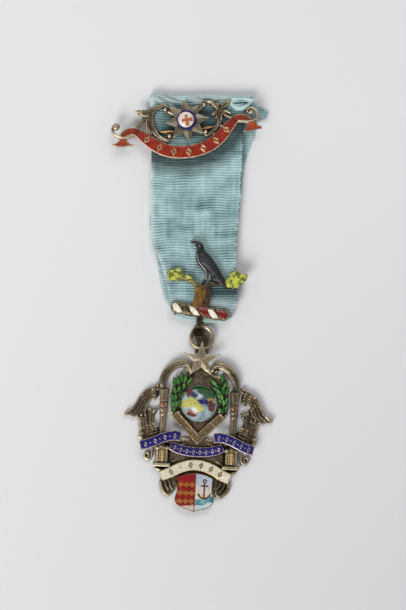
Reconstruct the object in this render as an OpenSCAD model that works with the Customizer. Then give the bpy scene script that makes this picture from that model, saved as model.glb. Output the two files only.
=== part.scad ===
// Enamelled silver jewel on a looped silk ribbon: a brooch bar with a star and a scroll, a bird
// crest, a jump ring and a pierced pendant. It lies on its back, with its top towards +Y, and the
// origin is under the middle of its outline.

/* [Ribbon] */
// Width of the silk ribbon
ribbon_w = 28; // [24:1:32]
// Thickness of the silk
ribbon_t = 1; // [0.8:0.1:1.2]
// Length of the loop from its top fold to its bottom fold
ribbon_drop = 71.6; // [64:1:80]
// Clearance between the silk and the metal that it touches
lay_gap = 0.15; // [0.1:0.05:0.25]

/* [Brooch] */
// Width across the tails of the long scroll
brooch_w = 48; // [42:1:54]
// Depth from the top of the side scrolls to the bottom of the long scroll
brooch_h = 18; // [15:1:21]
// Thickness of the brooch's flat metal
brooch_t = 1; // [0.8:0.1:1.2]
// Radius of the eight-pointed star
brooch_star_r = 6.9; // [6:0.1:7.2]
// Height of the star's ridges over its edge
brooch_star_rise = 0.8; // [0.4:0.1:1.2]
// Width of the long scroll at its middle
scroll_w = 4; // [3.2:0.2:4.6]
// Radius of each side scroll
side_scroll_r = 5.4; // [4.8:0.1:5.8]
// Thickness of the side scrolls' wire
side_wire_d = 1.1; // [0.9:0.1:1.4]
// Radius of the roundel's blue ring
roundel_r = 3.1; // [2.6:0.1:3.4]
// Radius of the roundel's white dome
roundel_dome_r = 2.3; // [1.8:0.1:2.4]
// Height of the roundel's white dome
roundel_dome_h = 0.7; // [0.5:0.1:1]
// Diameter of the brooch's pin
pin_d = 0.9; // [0.7:0.1:1.1]
// How far the brooch leans, anticlockwise
brooch_lean = 7.5; // [4:0.5:10]

/* [Crest] */
// Length of the twisted wreath under the bird
wreath_l = 18.8; // [17:0.2:21]
// Height of the twisted wreath
wreath_w = 3.6; // [3:0.2:4.2]
// Height of the bird from tail to crown
bird_h = 14.6; // [12:0.2:16]
// Height of the tree stump
stump_h = 7.4; // [6.4:0.2:8.4]
// Width across the two tufts of leaves
tufts_w = 26.4; // [24:0.2:28]
// Thickness of the crest's back plate
crest_t = 1; // [0.8:0.1:1.2]
// Thickness of the enamelled pieces on the crest
crest_relief = 0.9; // [0.7:0.1:1.2]
// Length of the hidden bar inside the bottom fold
hidden_bar_l = 15; // [12:1:16]
// How far the crest leans, clockwise
crest_lean = 5; // [2:0.5:7]
// How far the wreath leans beyond the crest, clockwise
wreath_lean = 4; // [0:0.5:5]

/* [Ring] */
// Radius of the jump ring at the middle of its wire
ring_r = 3.5; // [3.3:0.1:4]
// Diameter of the jump ring's wire
ring_wire_d = 1.2; // [1:0.1:1.3]
// Diameter of the wire of the eyes that it passes through
eye_wire_d = 0.8; // [0.7:0.1:0.9]
// Clearance between the ring's wire and an eye
eye_gap = 0.2; // [0.15:0.05:0.25]

/* [Pendant] */
// Width of the pendant across its leaf tips
pendant_w = 47; // [43:1:51]
// Height of the pendant from the star's top to the shield's tip
pendant_h = 54; // [50:1:58]
// Thickness of the pendant's pierced plate
plate_t = 1.2; // [1:0.1:1.4]
// Radius of the five-pointed star
star_r = 5.9; // [5.2:0.1:6.4]
// Height of the star's ridges over its edge
star_rise = 0.9; // [0.5:0.1:1.3]
// Thickness of the star's edge
star_edge = 0.6; // [0.4:0.1:0.8]
// Radius of the columns' rings
column_r = 1.4; // [1.2:0.05:1.5]
// Distance of each column from the middle
column_x = 11.3; // [10.8:0.1:11.8]
// Radius of the arches' rolled moulding
arch_tube_r = 1.2; // [1:0.05:1.35]
// Radius of the globe's edge
globe_r = 5.9; // [5.2:0.1:6.1]
// Height of the globe's dome
globe_h = 3.6; // [2.8:0.1:4.4]
// Width of the square's arms
square_w = 3.6; // [3:0.1:3.9]
// Thickness of the square
square_t = 1.1; // [0.9:0.1:1.3]
// Width of the blue scrolls
banner_w = 3.1; // [2.6:0.1:3.4]
// Width of the white scroll
number_w = 3.3; // [2.8:0.1:3.6]
// Thickness of each scroll
banner_t = 1.1; // [0.9:0.1:1.3]
// Width of a scroll's bright metal edge
rim_w = 0.3; // [0.2:0.05:0.4]
// Depth of the enamel in its tray
enamel_t = 0.5; // [0.4:0.05:0.6]
// Clearance round each enamel field and seated piece
seat_gap = 0.05; // [0.03:0.01:0.08]
// Height of the shield's rim over the plate
shield_t = 1.4; // [1.1:0.1:1.8]
// Height of the raised sprig leaves
leaf_t = 0.9; // [0.7:0.1:1.2]
// How far the pendant leans, clockwise
pendant_lean = 3; // [0:0.5:6]

/* [Hidden] */

round_fn = 48;
fine_fn = 32;
spline_steps = 4;
// How far a cut runs past what it cuts, and how far soldered pieces run into each other
cut = 1;
overlap = 0.1;

half_w = pendant_w / 2;
half_h = pendant_h / 2;
brooch_half = brooch_w / 2;

// Places of the groups on the surface, as they lie
ribbon_x = 0.44;
ribbon_bottom = -5.42;
ribbon_top = ribbon_bottom + ribbon_drop;
brooch_x = -2.36;
brooch_below_top = 7.6;
brooch_y = ribbon_top - brooch_below_top;
crest_x = 2.54;
crest_above_fold = 3;
crest_y = ribbon_bottom + crest_above_fold;

// Levels over the surface
bar_d = pin_d;
bar_z = ribbon_t + lay_gap + bar_d / 2;
front_layer_z = ribbon_t + 2 * lay_gap + bar_d + ribbon_t / 2;
front_z = front_layer_z + ribbon_t / 2 + lay_gap;
eye_hole_r = ring_wire_d / 2 + eye_gap;
eye_r = eye_hole_r + eye_wire_d / 2;
eye_outer_r = eye_hole_r + eye_wire_d;
ring_z = eye_outer_r + lay_gap;
star_z = ring_z + eye_outer_r + lay_gap;
on_plate_z = plate_t + seat_gap;
column_z = column_r;
banner_z = 2 * column_r + seat_gap;
low_banner_z = on_plate_z;

// Places of the links between the groups
fold_r = (front_layer_z - ribbon_t / 2) / 2;
bar_y = ribbon_bottom + fold_r + ribbon_t / 2;
neck_w = 1.6;
neck_x = 3.14;
eye_clear = 0.4;
crest_eye_y = ribbon_bottom - eye_clear - eye_outer_r;
ring_y = crest_eye_y - ring_r;
pendant_eye_y = ring_y - ring_r;
pendant_eye_v = 0.92 * half_h;
pendant_x = neck_x - pendant_eye_v * sin(pendant_lean);
pendant_y = pendant_eye_y - pendant_eye_v * cos(pendant_lean);

// The ribbon's loop, up the front layer and down the back one. Columns: height as a share of the
// drop, layer (1 front, 0 back), sag of the front layer as a share of its room, left edge and
// right edge as shares of half the width.
RIBBON_ROWS = [
    [0.045, 1, 0, -0.47, 0.93],
    [0.09, 1, 0, -0.54, 1.00],
    [0.14, 1, 0, -0.59, 1.00],
    [0.18, 1, 0, -0.64, 1.00],
    [0.27, 1, 0.2, -0.78, 1.00],
    [0.36, 1, 0.7, -0.95, 1.01],
    [0.45, 1, 0.9, -0.98, 1.03],
    [0.54, 1, 0.9, -0.98, 1.05],
    [0.63, 1, 0.7, -0.97, 1.07],
    [0.72, 1, 0.3, -0.96, 1.08],
    [0.81, 1, 0, -0.95, 1.10],
    [0.90, 1, 0, -0.96, 1.12],
    [0.96, 1, 0, -1.00, 1.18],
    [0.96, 0, 0, -0.98, 1.45],
    [0.92, 0, 0, -0.94, 1.70],
    [0.88, 0, 0, -0.90, 1.45],
    [0.81, 0, 0, -0.86, 1.36],
    [0.76, 0, 0, -0.86, 1.29],
    [0.70, 0, 0, -0.88, 1.20],
    [0.63, 0, 0, -0.91, 1.15],
    [0.54, 0, 0, -0.96, 1.05],
    [0.45, 0, 0, -1.00, 0.96],
    [0.36, 0, 0, -0.94, 0.93],
    [0.27, 0, 0, -0.83, 0.92],
    [0.18, 0, 0, -0.76, 0.92],
    [0.09, 0, 0, -0.65, 0.92],
    [0.045, 0, 0, -0.54, 0.88]
];
FOLD_STEPS = 6;
FOLD_BOTTOM_LEFT = -0.40;
FOLD_BOTTOM_RIGHT = 0.84;
FOLD_TOP_LEFT = -1.00;
FOLD_TOP_RIGHT = 1.28;

// The long scroll's middle line. Columns: sideways as a share of half the brooch, up as a share
// of its depth, width as a share of the middle width.
SCROLL_ROWS = [
    [-0.850, -0.178, 0.55], [-0.800, -0.122, 0.56], [-0.729, -0.094, 0.58],
    [-0.658, -0.122, 0.66], [-0.579, -0.211, 0.80], [-0.496, -0.322, 0.92],
    [-0.400, -0.422, 1.00], [-0.292, -0.506, 1.02], [-0.148, -0.561, 1.00],
    [0, -0.578, 1.00],
    [0.148, -0.561, 1.00], [0.292, -0.506, 1.02], [0.400, -0.422, 1.00],
    [0.496, -0.322, 0.92], [0.579, -0.211, 0.80], [0.658, -0.122, 0.66],
    [0.729, -0.094, 0.58], [0.800, -0.122, 0.56], [0.850, -0.178, 0.55]
];
// The curled end that rises from the scroll's tip. Columns as in the scroll's own table.
CURL_ROWS = [
    [0.840, -0.190, 0.24], [0.895, -0.185, 0.24], [0.945, -0.140, 0.22], [0.962, -0.065, 0.20],
    [0.935, 0.000, 0.20], [0.893, 0.010, 0.18], [0.868, -0.030, 0.18], [0.885, -0.068, 0.18]
];
// The forked tail behind the scroll's tip. Columns: sideways and up, as shares.
TAIL = [
    [0.835, -0.175], [0.885, -0.175], [0.900, -0.235], [0.945, -0.275], [1.000, -0.303],
    [0.870, -0.322], [0.745, -0.345], [0.795, -0.285], [0.825, -0.235]
];
TAIL_FIELD = [
    [0.852, -0.215], [0.872, -0.215], [0.890, -0.250], [0.935, -0.284],
    [0.865, -0.304], [0.800, -0.316], [0.828, -0.275]
];
// Leaves at the outside of each side scroll. Columns: turn in degrees, length and width as shares
// of the side scroll's radius.
FLOWER_LEAVES = [[38, 0.72, 0.30], [100, 0.46, 0.26], [160, 0.42, 0.26], [232, 0.50, 0.24],
                 [282, 0.74, 0.26], [330, 0.50, 0.22]];

// The bird's outline, from its beak along its back to the tail and up its breast. Columns:
// sideways and up, as shares of the bird's height.
BIRD = [
    [-0.452, 0.940], [-0.400, 0.962], [-0.320, 0.972], [-0.245, 1.000], [-0.165, 0.975],
    [-0.105, 0.880], [-0.075, 0.810], [0.020, 0.705], [0.110, 0.560], [0.215, 0.400],
    [0.350, 0.250], [0.440, 0.130], [0.530, 0.030], [0.420, 0.000], [0.290, 0.105],
    [0.180, 0.180], [0.120, 0.115], [0.090, 0.040], [-0.010, 0.040], [0.035, 0.150],
    [0.025, 0.270], [-0.090, 0.410], [-0.195, 0.530], [-0.250, 0.650], [-0.255, 0.770],
    [-0.290, 0.880], [-0.420, 0.925]
];
BIRD_WING = [
    [-0.150, 0.690], [-0.070, 0.730], [0.020, 0.630], [0.110, 0.480], [0.215, 0.320],
    [0.340, 0.180], [0.420, 0.080], [0.260, 0.190], [0.120, 0.250], [-0.020, 0.380],
    [-0.130, 0.530]
];
// The stump's outline, as shares of its height
STUMP = [
    [-0.400, 0.000], [-0.345, 0.300], [-0.330, 0.600], [-0.420, 0.860], [-0.360, 0.985],
    [-0.200, 0.930], [0.000, 0.885], [0.300, 0.885], [0.500, 0.890], [0.420, 0.800],
    [0.330, 0.700], [0.320, 0.400], [0.345, 0.150], [0.410, 0.000]
];
// The tufts of leaves, as shares of half the width across them
TUFT_LEFT = [
    [-0.219, 0.684], [-0.288, 0.744], [-0.372, 0.790], [-0.446, 0.865], [-0.521, 0.879], [-0.595, 0.967],
    [-0.670, 1.018], [-0.772, 0.986], [-0.837, 0.921], [-0.916, 0.883], [-0.893, 0.790], [-0.930, 0.707],
    [-0.828, 0.684], [-0.744, 0.651], [-0.651, 0.707], [-0.521, 0.688], [-0.391, 0.651], [-0.279, 0.642]
];
TUFT_RIGHT = [
    [0.560, 0.800], [0.548, 0.865], [0.571, 0.900], [0.584, 0.986], [0.697, 1.070],
    [0.810, 1.051], [0.898, 0.986], [1.061, 0.986], [1.073, 0.911], [0.948, 0.800],
    [0.860, 0.688], [0.697, 0.655], [0.660, 0.672], [0.600, 0.740]
];

// Outlines on the right half of the pendant. Columns: sideways and up, as shares of half its
// width and half its height.
CENTRAL_PLATE = [
    [0.000, 0.690], [0.120, 0.685], [0.200, 0.665], [0.285, 0.610], [0.355, 0.535],
    [0.380, 0.440], [0.380, 0.180], [0.365, 0.110], [0.000, -0.200]
];
WING = [
    [0.560, 0.350], [0.575, 0.400], [0.590, 0.470], [0.640, 0.462], [0.695, 0.430],
    [0.774, 0.363], [0.838, 0.278], [0.902, 0.200], [0.955, 0.158], [1.000, 0.135],
    [0.985, 0.092], [0.902, 0.093], [0.843, 0.080], [0.834, 0.040], [0.706, 0.040],
    [0.690, 0.126], [0.705, 0.207], [0.684, 0.285], [0.640, 0.300], [0.610, 0.285],
    [0.575, 0.300], [0.530, 0.335], [0.500, 0.345], [0.500, 0.385]
];
WING_RIDGE = [
    [0.640, 0.435], [0.695, 0.405], [0.770, 0.335], [0.830, 0.250], [0.900, 0.165],
    [0.965, 0.130], [0.890, 0.125], [0.810, 0.130], [0.750, 0.180], [0.730, 0.260],
    [0.690, 0.330], [0.620, 0.360]
];
CURL_LEAF = [
    [0.575, -0.050], [0.570, 0.040], [0.582, 0.110], [0.610, 0.165], [0.650, 0.178],
    [0.690, 0.150], [0.720, 0.090], [0.720, -0.050]
];
LEG = [[0.706, 0.059], [0.838, 0.070], [0.804, -0.215], [0.672, -0.215]];
LEG_RIDGE = [[0.738, 0.045], [0.806, 0.050], [0.775, -0.160], [0.705, -0.160]];
LEG_BLOCK = [[0.780, -0.105], [0.832, -0.110], [0.836, -0.195], [0.780, -0.205]];
INNER_STEPS = [[0.520, -0.030], [0.600, 0.015], [0.700, 0.030], [0.700, -0.215], [0.520, -0.215]];
LOWER_WEB = [[0.530, -0.290], [0.640, -0.310], [0.690, -0.370], [0.620, -0.400], [0.530, -0.390]];
BASE = [
    [0.000, -0.120], [0.150, -0.150], [0.420, -0.130], [0.500, -0.200], [0.560, -0.255],
    [0.560, -0.500], [0.520, -0.540], [0.470, -0.570], [0.430, -0.640], [0.455, -0.690],
    [0.405, -0.760], [0.340, -0.825], [0.295, -0.810], [0.240, -0.720], [0.000, -0.660]
];
SHIELD = [
    [0.000, -0.548], [0.120, -0.566], [0.242, -0.596], [0.238, -0.680], [0.246, -0.780],
    [0.262, -0.850], [0.268, -0.870], [0.240, -0.920], [0.125, -0.967], [0.000, -1.000]
];
// Middle lines of the scrolls. Columns: sideways and up, as shares, and width as a share. The centre
// scroll lies between the plinths, so its sideways shares are of its reach towards them.
SIDE_BANNER = [
    [0.225, -0.125, 1], [0.310, -0.118, 1], [0.400, -0.130, 1], [0.495, -0.160, 1],
    [0.590, -0.200, 1], [0.690, -0.235, 1], [0.770, -0.250, 1]
];
CENTRE_BANNER = [
    [-1.000, -0.235, 0.9], [-0.781, -0.268, 1], [-0.438, -0.295, 1], [0.000, -0.305, 1],
    [0.438, -0.295, 1], [0.781, -0.268, 1], [1.000, -0.235, 0.9]
];
NUMBER_BANNER = [
    [-0.470, -0.605, 0.95], [-0.360, -0.565, 1], [-0.230, -0.505, 1], [-0.110, -0.468, 1],
    [0.000, -0.456, 1], [0.110, -0.468, 1], [0.230, -0.505, 1], [0.360, -0.565, 1],
    [0.470, -0.605, 0.95]
];
// A column's outline. Columns: share of its height, share of its ring's radius.
COLUMN_PROFILE = [
    [0.00, 0.96], [0.03, 0.96], [0.05, 0.82], [0.08, 0.76], [0.60, 0.74], [0.62, 0.90],
    [0.66, 0.90], [0.68, 0.78], [0.74, 0.78], [0.76, 0.98], [0.84, 1.00], [0.86, 0.82],
    [0.90, 0.86], [0.92, 0.96], [1.00, 0.98]
];
// Leaves of a sprig. Columns: foot sideways and up as shares, turn in degrees from straight up,
// length and width as shares of half the pendant's height.
SPRIG_LEAVES = [
    [0.316, 0.170, -14, 0.13, 0.034], [0.317, 0.270, -16, 0.14, 0.036],
    [0.305, 0.360, -20, 0.15, 0.038], [0.280, 0.435, -22, 0.16, 0.040],
    [0.245, 0.500, -10, 0.16, 0.040], [0.316, 0.200, 16, 0.12, 0.034],
    [0.314, 0.300, 20, 0.12, 0.036], [0.295, 0.400, 24, 0.13, 0.038],
    [0.262, 0.475, 36, 0.14, 0.042], [0.240, 0.510, 58, 0.10, 0.036]
];
SPRIG_STEM = [
    [0.315, 0.150, 1], [0.318, 0.260, 1], [0.305, 0.360, 1], [0.275, 0.450, 1],
    [0.235, 0.515, 1]
];

// Points given as shares, in millimetres
function sized(rows, w, h) = [for (p = rows) [p[0] * w, p[1] * h]];
function on_pendant(rows) = sized(rows, half_w, half_h);
// A closed outline from its right half
function both_halves(rows) = concat(
    rows, [for (i = [len(rows) - 1:-1:0]) if (rows[i][0] > 0) [-rows[i][0], rows[i][1]]]);
// A smooth curve through every row, of as many columns as the rows have
function between(a, b, c, d, t) =
    0.5 * (2 * b + (c - a) * t + (2 * a - 5 * b + 4 * c - d) * t * t
    + (3 * b - a - 3 * c + d) * t * t * t);
function row_at(rows, i) = rows[max(0, min(len(rows) - 1, i))];
function smooth(rows, steps) = concat(
    [for (i = [0:len(rows) - 2], k = [0:steps - 1])
        between(row_at(rows, i - 1), rows[i], rows[i + 1], row_at(rows, i + 2), k / steps)],
    [rows[len(rows) - 1]]);
// A band of the width in the third column along the first two
function heading(rows, i) =
    let (a = row_at(rows, i - 1), b = row_at(rows, i + 1)) atan2(b[1] - a[1], b[0] - a[0]);
function side_point(rows, i, share) =
    let (a = heading(rows, i) + 90, r = rows[i][2] * share)
    [rows[i][0] + r * cos(a), rows[i][1] + r * sin(a)];
function band(rows) = concat(
    [for (i = [0:len(rows) - 1]) side_point(rows, i, 0.5)],
    [for (i = [len(rows) - 1:-1:0]) side_point(rows, i, -0.5)]);
function narrowed(rows, by) = [for (p = rows) [p[0], p[1], p[2] - 2 * by]];
function trimmed(rows, n) = [for (i = [n:len(rows) - 1 - n]) rows[i]];
// A scroll's middle line in millimetres
function route(rows, w, h, width) =
    smooth([for (p = rows) [p[0] * w, p[1] * h, p[2] * width]], spline_steps);
// A pointed leaf along +Y from the origin
function leaf_outline(l, w) = concat(
    [for (k = [0:6]) [w * pow(sin(k * 30), 0.8), l * k / 6]],
    [for (k = [5:-1:1]) [-w * pow(sin(k * 30), 0.8), l * k / 6]]);
// A star's outline
function star_points(n, r_out, r_in) = [for (i = [0:2 * n - 1])
    let (r = i % 2 == 0 ? r_out : r_in, a = 90 - i * 180 / n) [r * cos(a), r * sin(a)]];

// A flat-backed star whose points rise in ridges to its middle
module ridged_star(n, r_out, r_in, edge, rise) {
    rim = star_points(n, r_out, r_in);
    m = 2 * n;
    polyhedron(
        points = concat([for (p = rim) [p[0], p[1], 0]], [for (p = rim) [p[0], p[1], edge]],
                        [[0, 0, edge + rise], [0, 0, 0]]),
        faces = concat(
            [for (i = [0:m - 1]) [m + i, 2 * m, m + (i + 1) % m]],
            [for (i = [0:m - 1]) [i, (i + 1) % m, 2 * m + 1]],
            [for (i = [0:m - 1]) [i, m + i, m + (i + 1) % m, (i + 1) % m]]));
}

module at_height(z, t) {
    translate([0, 0, z]) linear_extrude(t) children();
}

module both_sides() {
    children();
    mirror([1, 0, 0]) children();
}

module tray_cut(line, z, t, rim, depth) {
    at_height(z + t - depth, depth + cut) polygon(band(trimmed(narrowed(line, rim), 1)));
}

// A metal scroll with a tray sunk for its enamel
module tray(line, z, t, rim, depth) {
    difference() {
        at_height(z, t) polygon(band(line));
        tray_cut(line, z, t, rim, depth);
    }
}

module tray_enamel(line, z, t, rim, depth) {
    at_height(z + t - depth + seat_gap, depth - seat_gap)
        polygon(band(trimmed(narrowed(line, rim + seat_gap), 1)));
}

// An eye whose hole faces sideways
module eye() {
    rotate([0, 90, 0]) rotate_extrude($fn = round_fn) translate([eye_r, 0])
        circle(d = eye_wire_d, $fn = fine_fn);
}

// A dome with a flat back
module dome(r, h) {
    ball_r = (r * r + h * h) / (2 * h);
    intersection() {
        translate([0, 0, h - ball_r]) sphere(ball_r, $fn = 2 * round_fn);
        cylinder(r = r + cut, h = h + cut, $fn = round_fn);
    }
}

module place_brooch() {
    translate([brooch_x, brooch_y, front_z]) rotate(brooch_lean) children();
}

module place_brooch_star() {
    place_brooch() translate([brooch_star_x, brooch_star_y, 0]) children();
}

module place_crest() {
    translate([crest_x, crest_y, front_z]) rotate(-crest_lean) children();
}

module place_wreath() {
    place_crest() rotate(-wreath_lean) children();
}

module place_pendant() {
    translate([pendant_x, pendant_y, 0]) rotate(-pendant_lean) children();
}

// Brooch

scroll_line = route(SCROLL_ROWS, brooch_half, brooch_h, scroll_w);
curl_line = route(CURL_ROWS, brooch_half, brooch_h, scroll_w);
side_scroll_x = brooch_half / 2 - side_scroll_r;
side_scroll_y = -0.02 * brooch_h;
flower_x = side_scroll_x + side_scroll_r;
flower_y = 0.13 * brooch_h;
tail_drop = lay_gap - seat_gap;
lug_x = 0.83 * brooch_half;
lug_y = -0.155 * brooch_h;
lug_t = 1;
lug_w = 1.8;
barrel_r = 0.75;
brooch_star_x = 0.025 * brooch_half;
brooch_star_y = -0.03 * brooch_h;
star_disc_r = 0.6 * brooch_star_r;
spoke_w = 0.9;
tip_x = side_scroll_x + side_scroll_r * cos(108);
tip_rise = side_scroll_r * sin(108);
star_seat_z = brooch_t + seat_gap;
star_edge_t = 0.6;
roundel_z = star_seat_z + star_edge_t + brooch_star_rise;
roundel_sink = 0.2;
roundel_ring_t = 0.5;
roundel_body_t = 0.4;
tip_inset = 0.3;
leaf_proud = 0.3;
strut_w = 1.1;
foot_w = 1.2;
foot_end_w = 1.4;
lug_root = 0.2;

module side_scroll() {
    translate([side_scroll_x, side_scroll_y, side_wire_d / 2]) rotate(-105)
        rotate_extrude(angle = 210, $fn = 2 * round_fn)
            translate([side_scroll_r, 0]) circle(d = side_wire_d, $fn = fine_fn);
    ball_tips();
}

module ball_tips(clear = 0) {
    translate([side_scroll_x, side_scroll_y, 0.75 * side_wire_d]) for (turn = [-1, 1])
        rotate(105 * turn) translate([side_scroll_r - tip_inset, tip_inset * turn, 0])
            sphere(d = 1.5 * side_wire_d + 2 * clear, $fn = fine_fn);
}

module flower() {
    translate([flower_x, flower_y]) {
        for (leaf = FLOWER_LEAVES)
            at_height(overlap, brooch_t + leaf_proud) rotate(leaf[0] - 90)
                polygon(leaf_outline(leaf[1] * side_scroll_r, leaf[2] * side_scroll_r / 2));
        translate([0, 0, brooch_t]) sphere(d = 1.3 * side_wire_d, $fn = fine_fn);
    }
}

module brooch_strut() {
    at_height(0, brooch_t) polygon(band([
        [flower_x, flower_y, strut_w], [0.62 * brooch_half, -0.08 * brooch_h, strut_w]]));
}

// The ears that hold the pin behind the scroll's ends
module pin_lug(clear = 0) {
    low = bar_z - front_z;
    translate([lug_x - lug_t / 2 - clear, lug_y - lug_w / 2 - clear, low - pin_d / 2])
        cube([lug_t + 2 * clear, lug_w + 2 * clear, pin_d / 2 - low + lug_root]);
}

module brooch_metal() {
    at_height(0, brooch_t) polygon(band(scroll_line));
    both_sides() {
        at_height(0, brooch_t) polygon(band(curl_line));
        difference() {
            at_height(-tail_drop, brooch_t) polygon(sized(TAIL, brooch_half, brooch_h));
            at_height(brooch_t - tail_drop - enamel_t, enamel_t + cut)
                polygon(sized(TAIL_FIELD, brooch_half, brooch_h));
        }
        side_scroll();
        flower();
        brooch_strut();
        pin_lug();
        // The lower end of each side scroll is soldered to the long scroll
        at_height(0, brooch_t) polygon(band([
            [side_scroll_x + 0.3 * side_scroll_r, side_scroll_y - 0.94 * side_scroll_r, foot_w],
            [0.36 * brooch_half, -0.352 * brooch_h, foot_end_w]]));
    }
    // The disc and spokes behind the star join the side scrolls' four tips
    translate([brooch_star_x, brooch_star_y, 0])
        cylinder(r = star_disc_r, h = brooch_t, $fn = round_fn);
    for (up = [-1, 1], side = [-1, 1]) at_height(0, brooch_t) polygon(band([
        [brooch_star_x, brooch_star_y, spoke_w],
        [side * tip_x, side_scroll_y + up * tip_rise, spoke_w]]));
}

module brooch_frame() {
    color("#8a8170") place_brooch() difference() {
        brooch_metal();
        tray_cut(scroll_line, 0, brooch_t, rim_w, enamel_t);
        translate([-brooch_half, lug_y, bar_z - front_z]) rotate([0, 90, 0])
            cylinder(d = pin_d + 2 * seat_gap, h = brooch_w, $fn = round_fn);
    }
}

module brooch_star() {
    color("#9b917c") difference() {
        place_brooch_star() translate([0, 0, star_seat_z]) intersection() {
            ridged_star(8, brooch_star_r, 0.62 * brooch_star_r, star_edge_t, brooch_star_rise);
            cylinder(r = brooch_star_r + cut, h = roundel_z - star_seat_z - roundel_sink,
                $fn = round_fn);
        }
        place_brooch() both_sides() ball_tips(seat_gap);
    }
}

module roundel_ring() {
    color("#1d2a78") place_brooch_star() translate([0, 0, roundel_z - roundel_sink + seat_gap])
        difference() {
            cylinder(r = roundel_r, h = roundel_ring_t, $fn = round_fn);
            translate([0, 0, -cut])
                cylinder(r = roundel_dome_r + seat_gap, h = roundel_ring_t + 2 * cut, $fn = round_fn);
        }
}

module roundel_body() {
    translate([0, 0, roundel_z - roundel_sink + seat_gap]) {
        cylinder(r = roundel_dome_r, h = roundel_body_t, $fn = round_fn);
        translate([0, 0, roundel_body_t - overlap]) dome(roundel_dome_r - seat_gap, roundel_dome_h);
    }
}

cross_waist = 0.55;
cross_flare = 1.3;
cross_reach = 0.8 * roundel_dome_r;
cross_t = 0.15;

// A cross whose four arms widen outwards
module cross_prism() {
    w = cross_waist / 2;
    f = cross_flare / 2;
    at_height(roundel_z, roundel_dome_h + 2 * cut) polygon([for (turn = [0:90:270], p = [
        [w, w], [cross_reach, f], [cross_reach, -f]]) let (c = cos(-turn), n = sin(-turn))
        [p[0] * c - p[1] * n, p[0] * n + p[1] * c]]);
}

module roundel_dome() {
    color("#f2efe6") place_brooch_star() roundel_body();
}

module roundel_cross() {
    color("#c9701f") place_brooch_star() difference() {
        intersection() {
            translate([0, 0, cross_t + seat_gap]) roundel_body();
            cross_prism();
        }
        translate([0, 0, seat_gap]) roundel_body();
    }
}

module scroll_enamel() {
    color("#a3300f") place_brooch() tray_enamel(scroll_line, 0, brooch_t, rim_w, enamel_t);
}

module tail_enamel(side) {
    color("#b8431a") place_brooch() mirror([side < 0 ? 1 : 0, 0, 0])
        at_height(brooch_t - tail_drop - enamel_t + seat_gap, enamel_t - seat_gap) difference() {
            intersection() {
                polygon(sized(TAIL_FIELD, brooch_half, brooch_h));
                translate([0.5 * seat_gap, -seat_gap])
                    polygon(sized(TAIL_FIELD, brooch_half, brooch_h));
            }
            polygon(band(narrowed(scroll_line, -seat_gap)));
            polygon(band(narrowed(curl_line, -seat_gap)));
        }
}

module brooch_pin() {
    pin_past = 0.4;
    pin_end = lug_x + lug_t / 2 + pin_past;
    point_l = 1.2;
    point_d = 0.2;
    barrel_l = 0.8;
    color("#7d776b") place_brooch() translate([0, lug_y, bar_z - front_z]) rotate([0, 90, 0]) {
        translate([0, 0, -pin_end]) cylinder(d = pin_d, h = 2 * pin_end, $fn = round_fn);
        translate([0, 0, pin_end]) cylinder(d1 = pin_d, d2 = point_d, h = point_l, $fn = round_fn);
        translate([0, 0, -pin_end - barrel_l]) cylinder(r = barrel_r, h = barrel_l, $fn = round_fn);
    }
}

// Ribbon

sag_room = front_layer_z - ribbon_t / 2 - ribbon_t - lay_gap;
function layer_z(row) = row[1] == 1 ? front_layer_z - row[2] * sag_room : ribbon_t / 2;
function ribbon_station(row) =
    [ribbon_bottom + row[0] * ribbon_drop, layer_z(row), row[3], row[4]];
// Stations round a fold, from the layer at angle a to the one at angle b
function fold(y, z, r, a, b, left, right) = [for (k = [0:FOLD_STEPS])
    let (t = a + (b - a) * k / FOLD_STEPS) [y + r * cos(t), z + r * sin(t), left, right]];
front_rows = [for (row = RIBBON_ROWS) if (row[1] == 1) ribbon_station(row)];
back_rows = [for (row = RIBBON_ROWS) if (row[1] == 0) ribbon_station(row)];
ribbon_stations = concat(
    front_rows,
    fold(ribbon_top - ribbon_t / 2 - fold_r, ribbon_t / 2 + fold_r, fold_r, 90, -90,
         FOLD_TOP_LEFT, FOLD_TOP_RIGHT),
    back_rows,
    fold(bar_y, ribbon_t / 2 + fold_r, fold_r, 270, 90, FOLD_BOTTOM_LEFT, FOLD_BOTTOM_RIGHT));

module ribbon_loop() {
    n = len(ribbon_stations);
    corners = [for (i = [0:n - 1])
        let (a = ribbon_stations[(i + n - 1) % n], b = ribbon_stations[(i + 1) % n],
             s = ribbon_stations[i], h = atan2(b[1] - a[1], b[0] - a[0]) + 90,
             dy = cos(h) * ribbon_t / 2, dz = sin(h) * ribbon_t / 2,
             x0 = ribbon_x + s[2] * ribbon_w / 2, x1 = ribbon_x + s[3] * ribbon_w / 2)
        each [[x0, s[0] + dy, s[1] + dz], [x1, s[0] + dy, s[1] + dz],
              [x1, s[0] - dy, s[1] - dz], [x0, s[0] - dy, s[1] - dz]]];
    polyhedron(points = corners, faces = [for (i = [0:n - 1], k = [0:3])
        let (a = 4 * i, b = 4 * ((i + 1) % n), m = (k + 1) % 4)
        each [[a + k, b + m, a + m], [a + k, b + k, b + m]]]);
}

// The loop has a slot for the crest's tongue, and one for each of the pin's ears that it reaches
module ribbon() {
    color("#9dbfc4") difference() {
        ribbon_loop();
        place_brooch() both_sides() pin_lug(lay_gap);
        translate([neck_x - neck_w / 2 - lay_gap, ribbon_bottom - cut, bar_z - bar_d / 2 - lay_gap])
            cube([neck_w + 2 * lay_gap, fold_r + ribbon_t / 2 + cut, bar_d + 2 * lay_gap]);
    }
}

// Crest

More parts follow.
